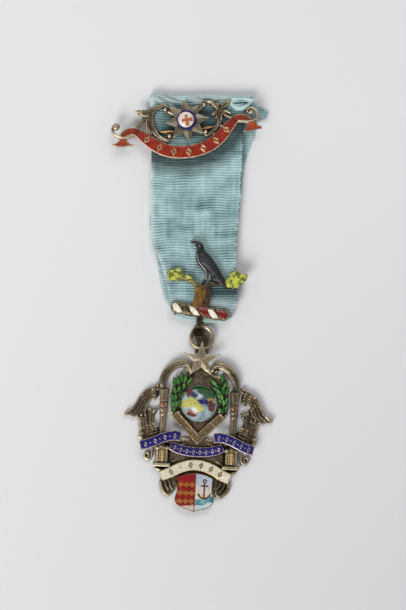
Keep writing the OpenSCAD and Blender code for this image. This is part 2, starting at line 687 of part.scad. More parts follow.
bird_x = 1;
bird_z = crest_t + seat_gap;
stump_foot = wreath_w / 2 / cos(wreath_lean) + 0.41 * stump_h * tan(wreath_lean) + seat_gap;
bird_y = stump_foot + 0.885 * stump_h + seat_gap - 0.04 * bird_h;
tuft_rise = stump_h + wreath_w / 2 - 0.684 * tufts_w / 2;
wreath_segments = 6;
segment_l = wreath_l / wreath_segments;
wreath_z = 0.8;
wreath_bulge = 1.2;
plate_root = 0.6;

module pill(l, w) {
    square([l - w, w], center = true);
    for (side = [-1, 1]) translate([side * (l - w) / 2, 0]) circle(d = w, $fn = round_fn);
}

// A twist of the wreath: a leaning lens
module twist(i, grow) {
    lens_w = 0.36 * segment_l;
    translate([(i - (wreath_segments - 1) / 2) * segment_l, 0]) rotate(38)
        translate([0, -0.5 * wreath_w + 0.5 * rim_w])
            polygon(leaf_outline(wreath_w - rim_w + grow, lens_w + grow));
}

module crest_plate() {
    rotate(-wreath_lean) {
        difference() {
            at_height(0, wreath_z + wreath_bulge) pill(wreath_l, wreath_w);
            for (i = [0, 2, 3, 4, 5])
                at_height(wreath_z + wreath_bulge - enamel_t, enamel_t + cut) twist(i, seat_gap);
        }
    }
    // The stump's and bird's back plate
    at_height(0, crest_t) {
        translate([0, wreath_w / 2 - plate_root]) polygon(sized([
            [-0.34, 0], [-0.26, 0.5], [-0.26, 1], [0.12, 1.02], [0.14, 1.18], [0.38, 1.18],
            [0.34, 1], [0.26, 0.5], [0.34, 0]
        ], stump_h, stump_h));
        translate([bird_x, bird_y]) polygon(sized([for (p = BIRD) [p[0] * 0.9, p[1] * 0.97 + 0.01]],
                                                  bird_h, bird_h));
        translate([0, tuft_rise]) polygon(sized([
            [-0.18, 0.67], [-0.42, 0.71], [-0.84, 0.74], [-0.79, 0.88], [-0.61, 0.89],
            [-0.42, 0.78], [-0.18, 0.71], [0.28, 0.72], [0.62, 0.74], [0.64, 0.97],
            [0.88, 0.93], [0.96, 0.87], [0.74, 0.71], [0.28, 0.69]
        ], tufts_w / 2, tufts_w / 2));
    }
}

module crest_link() {
    riser_t = 0.9;
    riser_y = ribbon_bottom - lay_gap - riser_t;
    link_top = front_z + crest_t;
    // The tongue through the slot in the bottom fold, from the hidden bar to the riser
    translate([neck_x - neck_w / 2, riser_y, bar_z - bar_d / 2])
        cube([neck_w, bar_y - riser_y, bar_d]);
    // The riser below the fold and the strap in front of it
    translate([neck_x - neck_w / 2, riser_y, ring_z - eye_wire_d / 2])
        cube([neck_w, riser_t, link_top - ring_z + eye_wire_d / 2]);
    translate([neck_x - neck_w / 2, riser_y, front_z])
        cube([neck_w, crest_y - riser_y, crest_t]);
    translate([neck_x, crest_eye_y, ring_z]) eye();
    translate([neck_x - hidden_bar_l / 2, bar_y, bar_z]) rotate([0, 90, 0])
        cylinder(d = bar_d, h = hidden_bar_l, $fn = round_fn);
}

module crest_frame() {
    color("#7f776a") {
        place_crest() crest_plate();
        crest_link();
    }
}

module bird() {
    color("#23272b") place_crest() translate([bird_x, bird_y])
        at_height(bird_z, crest_relief) polygon(sized(BIRD, bird_h, bird_h));
}

module bird_wing() {
    color("#3a4046") place_crest() translate([bird_x, bird_y])
        at_height(bird_z + crest_relief + seat_gap, 0.5 * crest_relief)
            polygon(sized(BIRD_WING, bird_h, bird_h));
}

module stump() {
    color("#9a6416") place_crest() translate([0, stump_foot])
        at_height(bird_z, crest_relief) polygon(sized(STUMP, stump_h, stump_h));
}

// A tuft of leaves, cut clear of the bird and the stump all round
module tuft(rows) {
    color("#8fa32a") place_crest() difference() {
        translate([0, tuft_rise])
            at_height(bird_z, crest_relief) polygon(sized(rows, tufts_w / 2, tufts_w / 2));
        for (turn = [0:90:270]) translate([seat_gap * cos(turn), seat_gap * sin(turn), -cut])
            at_height(bird_z, crest_relief + 2 * cut) {
                translate([bird_x, bird_y]) polygon(sized(BIRD, bird_h, bird_h));
                translate([0, stump_foot]) polygon(sized(STUMP, stump_h, stump_h));
            }
    }
}

module wreath_enamel(i) {
    place_wreath() at_height(wreath_z + wreath_bulge - enamel_t + seat_gap, enamel_t)
        twist(i, -seat_gap);
}

// Jump ring

module jump_ring() {
    color("#6d6558") translate([neck_x, ring_y, ring_z]) rotate_extrude($fn = 2 * round_fn)
        translate([ring_r, 0]) circle(d = ring_wire_d, $fn = fine_fn);
}

// Pendant

column_foot = -0.258 * half_h;
column_top = 0.415 * half_h;
arch_r = 6.8;
arch_out = 0.3;
arch_rise = 2;
arch_x = column_x + arch_out - arch_r;
arch_y = column_top + arch_rise;
arch_sweep = 82;
volute_r = 1.6;
joint_run = 0.3;
ball_d = 1.7;
spine_w = 2.2;
star_v = 0.79 * half_h;
globe_v = 0.272 * half_h;
square_v = -0.215 * half_h;
plinth_w = 3.9;
plinth_top = -0.25 * half_h;
plinth_bottom = -0.44 * half_h;
plinth_drop = 0.4;
plinth_t = 2 * column_r - plinth_drop;
plinth_cap_h = 0.8;
plinth_cap_out = 0.3;
plinth_base_h = 1.2;
plinth_base_out = 0.7;
panel_w = 2.2;
panel_h = 3.1;
panel_v = (plinth_top + plinth_bottom) / 2 - plinth_cap_h / 4;
panel_t = 0.4;
wing_ridge_t = 1;
leg_drop = 0.2;
leg_ridge_t = 0.5;
leg_t = 2 * column_r - leg_drop - leg_ridge_t + overlap;
leg_block_t = 1.8;
star_post_r = 1.5;
rib_inset = 0.45;
square_rim_w = 0.4;
square_rim_t = 0.2;
stem_w = 0.5;
side_line = route(SIDE_BANNER, half_w, half_h, banner_w);
centre_clear = 0.3;
centre_reach = column_x - plinth_w / 2 - plinth_base_out - centre_clear;
centre_line = route(CENTRE_BANNER, centre_reach, half_h, banner_w);
number_line = route(NUMBER_BANNER, half_w, half_h, number_w);

module column() {
    h = column_top - column_foot;
    translate([column_x, column_foot, column_z]) rotate([-90, 0, 0])
        rotate_extrude($fn = round_fn) polygon(concat([[0, 0]],
            [for (p = COLUMN_PROFILE) [p[1] * column_r, p[0] * h]], [[0, h]]));
}

module tube_arc(r, from, sweep) {
    rotate(from) rotate_extrude(angle = sweep, $fn = 2 * round_fn) translate([r, 0])
        circle(r = arch_tube_r, $fn = fine_fn);
}

// The rolled arch from a column's top to its volute beside the star
module arch() {
    translate([arch_x, arch_y, column_z]) {
        tube_arc(arch_r, 0, arch_sweep);
        rotate(arch_sweep) translate([arch_r - volute_r, 0]) {
            tube_arc(volute_r, 0, 100);
            rotate(100) translate([volute_r, joint_run]) sphere(1.15 * arch_tube_r, $fn = fine_fn);
        }
    }
    translate([arch_x + arch_r, column_top - joint_run, column_z]) rotate([-90, 0, 0])
        cylinder(r = arch_tube_r, h = arch_y - column_top + joint_run, $fn = fine_fn);
}

module plinth() {
    cap_w = plinth_w + 2 * plinth_cap_out;
    base_w = plinth_w + 2 * plinth_base_out;
    translate([column_x - plinth_w / 2, plinth_bottom - overlap, 0])
        cube([plinth_w, plinth_top - plinth_bottom, plinth_t]);
    translate([column_x - cap_w / 2, plinth_top + overlap - plinth_cap_h, 0])
        cube([cap_w, plinth_cap_h, plinth_t + plinth_cap_out]);
    translate([column_x - base_w / 2, plinth_bottom - plinth_base_h, 0])
        cube([base_w, plinth_base_h + overlap, plinth_t + 2 * plinth_cap_out]);
}

module panel_pocket(clear) {
    translate([column_x - panel_w / 2 - clear, panel_v - panel_h / 2 - clear, 0])
        cube([panel_w + 2 * clear, panel_h + 2 * clear, plinth_t + cut]);
}

module wing() {
    at_height(0, plate_t) polygon(on_pendant(WING));
    at_height(plate_t - overlap, wing_ridge_t) polygon(on_pendant(WING_RIDGE));
    translate([0.590 * half_w, 0.462 * half_h, plate_t - overlap])
        sphere(0.55 * ball_d, $fn = fine_fn);
    translate([0.610 * half_w, 0.305 * half_h, plate_t - overlap])
        sphere(0.5 * ball_d, $fn = fine_fn);
    at_height(0, plate_t) polygon(on_pendant(CURL_LEAF));
    translate([0.642 * half_w, 0.125 * half_h, plate_t]) sphere(0.6 * ball_d, $fn = fine_fn);
}

module leg() {
    step_h = 0.5;
    step_t = 0.6;
    at_height(0, leg_t) polygon(on_pendant(LEG));
    at_height(leg_t - overlap, leg_ridge_t) polygon(on_pendant(LEG_RIDGE));
    at_height(0, leg_block_t) polygon(on_pendant(LEG_BLOCK));
    at_height(0, plate_t) polygon(on_pendant(INNER_STEPS));
    for (v = [-0.03, -0.08, -0.13])
        translate([0.54 * half_w, v * half_h, plate_t - overlap])
            cube([0.15 * half_w, step_h, step_t]);
}

module lower_scroll() {
    curl_r = 1;
    curl_wire_d = 0.8;
    web_w = 0.75 * curl_wire_d;
    at_height(0, plate_t) polygon(on_pendant(LOWER_WEB));
    translate([0.665 * half_w, -0.385 * half_h, plate_t / 2]) {
        rotate_extrude($fn = round_fn) translate([curl_r, 0])
            circle(d = curl_wire_d, $fn = fine_fn);
        translate([curl_wire_d / 4, 0, 0]) sphere(0.45 * curl_r, $fn = fine_fn);
        translate([-curl_r, -web_w / 2, -web_w / 2])
            cube([curl_r + curl_wire_d / 4, web_w, web_w]);
    }
}

module spine() {
    top = pendant_eye_v - eye_hole_r - overlap;
    foot = 0.6 * half_h;
    web_w = 0.42 * half_w;
    web_h = 1.8;
    translate([-spine_w / 2, foot, 0]) cube([spine_w, top - foot, ring_z + plate_t / 2]);
    translate([0, star_v, 0]) cylinder(r = star_post_r, h = star_z - seat_gap, $fn = round_fn);
    translate([0, pendant_eye_v, ring_z]) eye();
    // The webs that carry the arches' volutes
    translate([-web_w / 2, 0.63 * half_h, 0]) cube([web_w, web_h, plate_t]);
}

module pendant_metal() {
    at_height(0, plate_t) polygon(both_halves(on_pendant(CENTRAL_PLATE)));
    at_height(0, plate_t) polygon(both_halves(on_pendant(BASE)));
    both_sides() {
        column();
        arch();
        plinth();
        wing();
        leg();
        lower_scroll();
        // The rib behind each side scroll ties the column, leg and base together
        at_height(0, banner_z - seat_gap)
            polygon(band(trimmed(narrowed(side_line, rib_inset), 1)));
    }
    spine();
}

module pendant_frame() {
    color("#7c7262") place_pendant() difference() {
        pendant_metal();
        both_sides() translate([0, 0, plinth_t - panel_t - seat_gap]) panel_pocket(seat_gap);
    }
}

module pendant_star() {
    color("#a1957d") place_pendant() translate([0, star_v, star_z])
        ridged_star(5, star_r, 0.4 * star_r, star_edge, star_rise);
}

module globe() {
    color("#b9c9d2") place_pendant() translate([0, globe_v, on_plate_z]) dome(globe_r, globe_h);
}

// The try square: two arms that meet in a right angle below the globe, drawn in by a margin
module square_arms(inset) {
    reach = (0.52 * half_w - inset) / sqrt(2);
    across = (square_w - 2 * inset) / sqrt(2);
    foot = square_v + inset * sqrt(2);
    polygon([[0, foot], [reach, foot + reach], [reach - across, foot + reach + across],
             [0, foot + 2 * across], [across - reach, foot + reach + across],
             [-reach, foot + reach]]);
}

module try_square() {
    color("#84705a") place_pendant() difference() {
        at_height(on_plate_z, square_t) square_arms(0);
        at_height(on_plate_z + square_t - square_rim_t, square_rim_t + cut) square_arms(square_rim_w);
        translate([0, globe_v, 0])
            cylinder(r = globe_r + seat_gap, h = 3 * square_t + plate_t, $fn = 2 * round_fn);
    }
}

module sprig(side) {
    color("#2f6a2b") place_pendant() mirror([side < 0 ? 1 : 0, 0, 0]) difference() {
        union() {
            for (leaf = SPRIG_LEAVES) at_height(on_plate_z, leaf_t)
                translate([leaf[0] * half_w, leaf[1] * half_h]) rotate(leaf[2])
                    polygon(leaf_outline(leaf[3] * half_h, leaf[4] * half_h));
            at_height(on_plate_z, leaf_t)
                polygon(band([for (p = SPRIG_STEM) [p[0] * half_w, p[1] * half_h, stem_w]]));
        }
        translate([0, globe_v, 0])
            cylinder(r = globe_r + seat_gap, h = plate_t + 3 * leaf_t, $fn = 2 * round_fn);
        linear_extrude(plate_t + 3 * leaf_t) square_arms(-seat_gap);
    }
}

module banner_side(side) {
    color("#a59b88") place_pendant() mirror([side < 0 ? 1 : 0, 0, 0])
        tray(side_line, banner_z, banner_t, rim_w, enamel_t);
}

module banner_side_enamel(side) {
    color("#1b1766") place_pendant() mirror([side < 0 ? 1 : 0, 0, 0])
        tray_enamel(side_line, banner_z, banner_t, rim_w, enamel_t);
}

module banner_centre() {
    color("#a59b88") place_pendant()
        tray(centre_line, low_banner_z, banner_t, rim_w, enamel_t);
}

module banner_centre_enamel() {
    color("#1b1766") place_pendant()
        tray_enamel(centre_line, low_banner_z, banner_t, rim_w, enamel_t);
}

module number_scroll() {
    color("#a59b88") place_pendant()
        tray(number_line, low_banner_z, banner_t, rim_w, enamel_t);
}

module number_enamel() {
    color("#ece6d8") place_pendant()
        tray_enamel(number_line, low_banner_z, banner_t, rim_w, enamel_t);
}

// The shield's outline, drawn in by a margin
module shield_outline(inset) {
    mid = -0.78 * half_h;
    k = 1 - inset / (0.26 * half_w);
    translate([0, mid]) scale([k, k]) translate([0, -mid])
        polygon(both_halves(on_pendant(SHIELD)));
}

module shield() {
    color("#8f8674") place_pendant() difference() {
        at_height(on_plate_z, shield_t) shield_outline(0);
        at_height(on_plate_z + shield_t - enamel_t, enamel_t + cut) shield_outline(rim_w);
    }
}

sea_top = -0.885 * half_h;

module shield_part(x0, x1, v0, v1) {
    place_pendant() at_height(on_plate_z + shield_t - enamel_t + seat_gap, enamel_t)
        intersection() {
            shield_outline(rim_w + seat_gap);
            translate([x0, v0]) square([x1 - x0, v1 - v0]);
        }
}

module shield_field_red() {
    color("#a52a12") shield_part(-half_w, -seat_gap, sea_top, 0);
}

module shield_field_white() {
    color("#dfe3e2") shield_part(seat_gap, half_w, sea_top, 0);
}

module shield_sea() {
    color("#2f8a8c") shield_part(-half_w, half_w, -half_h, sea_top - seat_gap);
}

module plinth_panel(side) {
    color("#b5975a") place_pendant() mirror([side < 0 ? 1 : 0, 0, 0])
        translate([0, 0, plinth_t - panel_t]) intersection() {
            panel_pocket(0);
            translate([-half_w, -half_h, 0]) cube([pendant_w, pendant_h, panel_t - seat_gap]);
        }
}

brooch_frame();
brooch_star();
roundel_ring();
roundel_dome();
roundel_cross();
scroll_enamel();
tail_enamel(-1);  // tail_enamel_left
tail_enamel(1);  // tail_enamel_right
brooch_pin();
ribbon();
crest_frame();
bird();
bird_wing();
stump();
tuft(TUFT_LEFT);  // tuft_left
tuft(TUFT_RIGHT);  // tuft_right
color("#f2efe6") wreath_enamel(0);  // wreath_white_1
color("#f2efe6") wreath_enamel(2);  // wreath_white_2
color("#f2efe6") wreath_enamel(4);  // wreath_white_3
color("#7c1d0d") wreath_enamel(3);  // wreath_red_1
color("#7c1d0d") wreath_enamel(5);  // wreath_red_2
jump_ring();
pendant_frame();
pendant_star();
globe();
try_square();
sprig(-1);  // sprig_left
sprig(1);  // sprig_right
banner_side(-1);  // banner_left
banner_side(1);  // banner_right
banner_centre();
banner_side_enamel(-1);  // banner_left_enamel
banner_side_enamel(1);  // banner_right_enamel
banner_centre_enamel();
number_scroll();
number_enamel();
shield();
shield_field_red();
shield_field_white();
shield_sea();
plinth_panel(-1);  // plinth_panel_left
plinth_panel(1);  // plinth_panel_right
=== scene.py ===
import math

import bpy
import numpy as np
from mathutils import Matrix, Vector


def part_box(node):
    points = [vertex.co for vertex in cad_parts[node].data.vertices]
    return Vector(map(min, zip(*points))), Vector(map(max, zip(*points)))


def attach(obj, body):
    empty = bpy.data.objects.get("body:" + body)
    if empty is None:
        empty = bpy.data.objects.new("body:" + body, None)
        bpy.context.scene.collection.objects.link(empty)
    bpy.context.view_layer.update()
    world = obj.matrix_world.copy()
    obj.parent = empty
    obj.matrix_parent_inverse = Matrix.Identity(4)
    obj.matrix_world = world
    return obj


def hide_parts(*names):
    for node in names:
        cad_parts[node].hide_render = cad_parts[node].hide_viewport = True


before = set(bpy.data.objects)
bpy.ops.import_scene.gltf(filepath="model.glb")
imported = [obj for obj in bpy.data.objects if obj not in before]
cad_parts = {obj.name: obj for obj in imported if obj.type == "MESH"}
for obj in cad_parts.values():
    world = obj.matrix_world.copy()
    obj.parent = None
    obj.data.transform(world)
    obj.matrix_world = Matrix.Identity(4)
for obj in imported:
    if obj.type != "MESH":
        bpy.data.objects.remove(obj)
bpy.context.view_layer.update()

# All sizes below are millimetres in a group's own frame; Place turns them into the shared frame.
MM = 0.001


# Places, read from the frame

def centre(node):
    low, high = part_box(node)
    return (np.array(low) + np.array(high)) / 2 / MM


def low_z(node):
    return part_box(node)[0].z / MM


def cos_sin(degrees):
    return math.cos(math.radians(degrees)), math.sin(math.radians(degrees))


def lean_of(line):
    return math.degrees(math.atan2(line[1], line[0]))


class Place:
    """A group's own frame: an origin in millimetres and a lean in degrees."""

    def __init__(self, x, y, z, lean):
        self.origin, self.lean = np.array([x, y, z], float), lean
        c, s = cos_sin(lean)
        self.turn = np.array([[c, -s, 0], [s, c, 0], [0, 0, 1]])

    def world(self, points):
        return (np.asarray(points, float) @ self.turn.T + self.origin) * MM

    def own(self, points):
        """Millimetres of the shared frame in the group's own frame."""
        return (np.asarray(points, float) - self.origin) @ self.turn

    def shifted(self, x, y, z=0, lean=0):
        at = self.turn @ np.array([x, y, z], float) + self.origin
        return Place(*at, self.lean + lean)


# Half sizes of the pendant and the ribbon, plate thicknesses, and places within each group
PENDANT_HALF = (23.5, 27)
RIBBON_HALF, RIBBON_DROP = 14, 71.6
PLATE_T, BROOCH_T, CREST_T = 1.2, 1, 1
SEAT = 0.05
EYE_V, EYE_R, EYE_WIRE = 24.84, 1.2, 0.4
BROOCH_STAR = (0.6, -0.54)
WREATH_L, WREATH_W, TWISTS = 18.8, 3.6, 6
WREATH_TURN = -4

ring_low, ring_high = (np.array(corner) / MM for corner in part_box("jump_ring"))
ring_x, ring_y, ring_z = centre("jump_ring")
ring_wire_r = (ring_high[2] - ring_low[2]) / 2
ring_r = (ring_high[0] - ring_low[0]) / 2 - ring_wire_r
pendant_eye = np.array([ring_x, ring_y - ring_r, ring_z])
axis = pendant_eye[:2] - centre("globe")[:2]
axis /= np.linalg.norm(axis)
pendant_lean = lean_of(axis) - 90
pendant = Place(*(pendant_eye[:2] - EYE_V * axis), 0, pendant_lean)

brooch_lean = lean_of(centre("tail_enamel_right") - centre("tail_enamel_left"))
front_z = low_z("brooch_star") - BROOCH_T - SEAT
brooch = Place(*centre("roundel_dome")[:2], front_z, brooch_lean).shifted(-BROOCH_STAR[0], -BROOCH_STAR[1])

wreath_first, wreath_last = centre("wreath_white_1"), centre("wreath_white_3")
wreath = Place(*((wreath_last + wreath_first) / 2)[:2], front_z, lean_of(wreath_last - wreath_first))
wreath = wreath.shifted(WREATH_L / TWISTS / 2, 0)
crest = wreath.shifted(0, 0, 0, -WREATH_TURN)


# Fields: each gives depth inside an outline and a height

def hashed(i, j, seed):
    value = np.sin(i * 127.1 + j * 311.7 + seed * 74.7) * 43758.5453
    return value - np.floor(value)


def noise(x, y, seed):
    """Smooth noise from 0 to 1, one lump a unit."""
    i, j = np.floor(x), np.floor(y)
    fx, fy = x - i, y - j
    fx, fy = fx * fx * (3 - 2 * fx), fy * fy * (3 - 2 * fy)
    near = hashed(i, j, seed) * (1 - fx) + hashed(i + 1, j, seed) * fx
    far = hashed(i, j + 1, seed) * (1 - fx) + hashed(i + 1, j + 1, seed) * fx
    return near * (1 - fy) + far * fy


def stipple(x, y, pitch=0.42):
    """Punched dots, from 0 in a dot to 1 on the ground."""
    i, j = np.floor(x / pitch), np.floor(y / pitch)
    dx = x / pitch - i - 0.3 - 0.4 * hashed(i, j, 3)
    dy = y / pitch - j - 0.3 - 0.4 * hashed(i, j, 4)
    return np.clip((dx * dx + dy * dy) / 0.1, 0, 1)


def bell(x, width):
    return np.exp(-(x / width) ** 2)


def blend(a, b, share):
    share = share[:, None]
    return np.asarray(a) * (1 - share) + np.asarray(b) * share


def toned(colour, metal=0.0):
    """Colours with how far each place is bare metal."""
    return np.column_stack([colour, np.broadcast_to(metal, len(colour))])


def local(x, y, x0, y0, turn):
    """Points as seen from x0, y0 along a direction in degrees."""
    c, s = cos_sin(turn)
    return (x - x0) * c + (y - y0) * s, -(x - x0) * s + (y - y0) * c


def mirrored(half):
    """A right half outline, from top to bottom, closed by its mirror."""
    half = np.array(half, float)
    return np.vstack([half, half[half[:, 0] > 0][::-1] * [-1, 1]])


def flipped(points):
    """The same outline or path on the other side of the middle line."""
    points = np.array(points, float)
    points[:, 0] *= -1
    return points


def smooth(rows, steps=5):
    """A curve through the rows."""
    rows = np.array(rows, float)
    full = np.vstack([2 * rows[0] - rows[1], rows, 2 * rows[-1] - rows[-2]])
    found = []
    for a, b, c, d in zip(full[:-3], full[1:-2], full[2:-1], full[3:]):
        for t in np.linspace(0, 1, steps, endpoint=False):
            found.append(0.5 * (2 * b + (c - a) * t + (2 * a - 5 * b + 4 * c - d) * t ** 2
                                + (3 * b - a - 3 * c + d) * t ** 3))
    return np.array(found + [rows[-1]])


def circle(x, y, radius, width, steps=30):
    turns = np.radians(np.linspace(0, 360, steps))
    return np.stack([x + radius * np.cos(turns), y + radius * np.sin(turns), np.full(steps, width)], axis=1)


def polygon_depth(points, x, y):
    best, inside = np.full(x.shape, 1e9), np.zeros(x.shape, bool)
    for (ax, ay), (bx, by) in zip(points, np.roll(points, -1, axis=0)):
        ex, ey = bx - ax, by - ay
        t = np.clip(((x - ax) * ex + (y - ay) * ey) / max(ex * ex + ey * ey, 1e-12), 0, 1)
        best = np.minimum(best, (x - ax - t * ex) ** 2 + (y - ay - t * ey) ** 2)
        if ay != by:
            inside ^= ((ay > y) != (by > y)) & (x < ax + (y - ay) / (by - ay) * ex)
    return np.where(inside, 1, -1) * np.sqrt(best)


def along(path, x, y):
    """Beside a path: signed distance across it, run along it, its length and its width there."""
    best = np.full(x.shape, 1e9)
    across, run, width = np.zeros(x.shape), np.zeros(x.shape), np.zeros(x.shape)
    done = 0
    for a, b in zip(path[:-1], path[1:]):
        ex, ey = b[0] - a[0], b[1] - a[1]
        length = math.hypot(ex, ey)
        if length < 1e-9:
            continue
        t = np.clip(((x - a[0]) * ex + (y - a[1]) * ey) / length ** 2, 0, 1)
        gap = np.hypot(x - a[0] - t * ex, y - a[1] - t * ey)
        near = gap < best
        side = np.where(ex * (y - a[1]) - ey * (x - a[0]) < 0, -1, 1)
        best = np.where(near, gap, best)
        across = np.where(near, side * gap, across)
        run = np.where(near, done + t * length, run)
        width = np.where(near, a[2] + t * (b[2] - a[2]), width)
        done += length
    return across, run, done, width


# A shape is its lowest and highest corner, a function of x and y that gives depth and height,
# and its role: "add", or "cut", which lowers what is there.

def around(points, reach, at, role="add"):
    points = np.array(points, float)[:, :2]
    return points.min(0) - reach, points.max(0) + reach, at, role


def plate(points, top, edge=0.3, drop=0.2, detail=None, role="add", inset=0.0):
    """A flat plate with a rounded edge; detail(x, y, depth) is added to its height."""
    points = np.array(points, float)

    def at(x, y):
        depth = polygon_depth(points, x, y) - inset
        z = top - drop * (1 - np.clip(depth / edge, 0, 1)) ** 2
        return depth, z + (detail(x, y, depth) if detail else 0)
    return around(points, 0.4, at, role)


def bar(path, profile, detail):
    """A bar along a path whose third column is half its width; detail(across share, run) is added."""
    path = np.array(path, float)

    def at(x, y):
        across, run, length, half = along(path, x, y)
        share = across / np.maximum(half, 1e-6)
        height = profile(half, np.clip(np.abs(share), 0, 1) ** 2)
        return half - np.abs(across), height + (detail(share, run) if detail else 0)
    return around(path, path[:, 2].max() + 0.3, at)


def tube(path, z, detail=None, tall=1.0):
    """A round bar."""
    return bar(path, lambda radius, share: z + tall * radius * np.sqrt(1 - share), detail)


def ridge(path, base, rise, detail=None):
    """A low rounded bar."""
    return bar(path, lambda half, share: base + rise * (1 - share), detail)


def ball(x0, y0, z, radius):
    def at(x, y):
        gap = np.hypot(x - x0, y - y0)
        return radius - gap, z + np.sqrt(np.clip(radius ** 2 - gap ** 2, 0, None))
    return around([[x0, y0]], radius + 0.3, at)


def disc(x0, y0, radius, top, edge=0.3, drop=0.2):
    def at(x, y):
        depth = radius - np.hypot(x - x0, y - y0)
        return depth, top - drop * (1 - np.clip(depth / edge, 0, 1)) ** 2
    return around([[x0, y0]], radius + 0.4, at)


def dome(radius, height):
    full = (radius ** 2 + height ** 2) / (2 * height)

    def at(x, y):
        gap = np.hypot(x, y)
        return radius - gap, height - full + np.sqrt(np.clip(full ** 2 - gap ** 2, 0, None))
    return around([[0, 0]], radius + 0.3, at)


def blade(x0, y0, x1, y1, width, base, rise, vein):
    """A pointed leaf from its foot to its tip, with a sunk middle vein."""
    length, turn = math.hypot(x1 - x0, y1 - y0), lean_of((x1 - x0, y1 - y0))

    def at(x, y):
        u, v = local(x, y, x0, y0, turn)
        u = u / length
        inside = np.clip(u, 0, 1)
        half = width * np.sin(math.pi * inside ** 0.8) + 0.02
        depth = np.minimum(half - np.abs(v), np.minimum(u, 1 - u) * length)
        share = np.clip(np.abs(v) / half, 0, 1)
        return depth, base + rise * (1 - share ** 2) - vein * bell(v, 0.14) * np.sin(math.pi * inside)
    return around([[x0, y0]], length + width, at)


def evaluate(shapes, x, y, floor, reach):
    """Depth inside all shapes together, and their height, at flat arrays of points."""
    depth, top = np.full(x.shape, -9.0), np.full(x.shape, float(floor))
    for low, high, at, role in shapes:
        here = np.nonzero((x >= low[0]) & (x <= high[0]) & (y >= low[1]) & (y <= high[1]))[0]
        if not len(here):
            continue
        d, z = at(x[here], y[here])
        if role == "add":
            depth[here] = np.maximum(depth[here], d)
            top[here] = np.where(d > -reach, np.maximum(top[here], z), top[here])
        else:
            top[here] = np.where(d > 0, np.minimum(top[here], z), top[here])
    return depth, top


# Meshes

# Thickness that a relief never goes below, and the rubbed wear and painted highlight of its extra meshes
THINNEST, EXTRA_WEAR_AND_HIGHLIGHT = 0.05, 0.15


def add_mesh(name, points, faces, material, colours, worn=None, angle=50):
    """A smooth-shaded mesh object with its edges sharp above an angle."""
    mesh = bpy.data.meshes.new(name)
    mesh.from_pydata(points.tolist(), [], faces)
    mesh.validate()
    tint = mesh.attributes.new("tint", "FLOAT_COLOR", "POINT")
    tint.data.foreach_set("color", colours.astype(np.float32).ravel())
    if worn is not None:
        mesh.attributes.new("worn", "FLOAT", "POINT").data.foreach_set("value", worn.astype(np.float32))
    mesh.shade_smooth()
    mesh.set_sharp_from_angle(angle=math.radians(angle))
    mesh.materials.append(material)
    piece = bpy.data.objects.new(name, mesh)
    bpy.context.scene.collection.objects.link(piece)
    return piece


def blurred(grid, reach):
    """A box blur over 2 * reach + 1 cells each way."""
    span = 2 * reach + 1
    for side in (0, 1):
        padded = np.pad(grid, [(reach + 1, reach) if k == side else (0, 0) for k in (0, 1)], mode="edge")
        sums = np.cumsum(padded, axis=side)
        cells = sums.shape[side]
        grid = (np.take(sums, range(span, cells), axis=side)
                - np.take(sums, range(0, cells - span), axis=side)) / span
    return grid


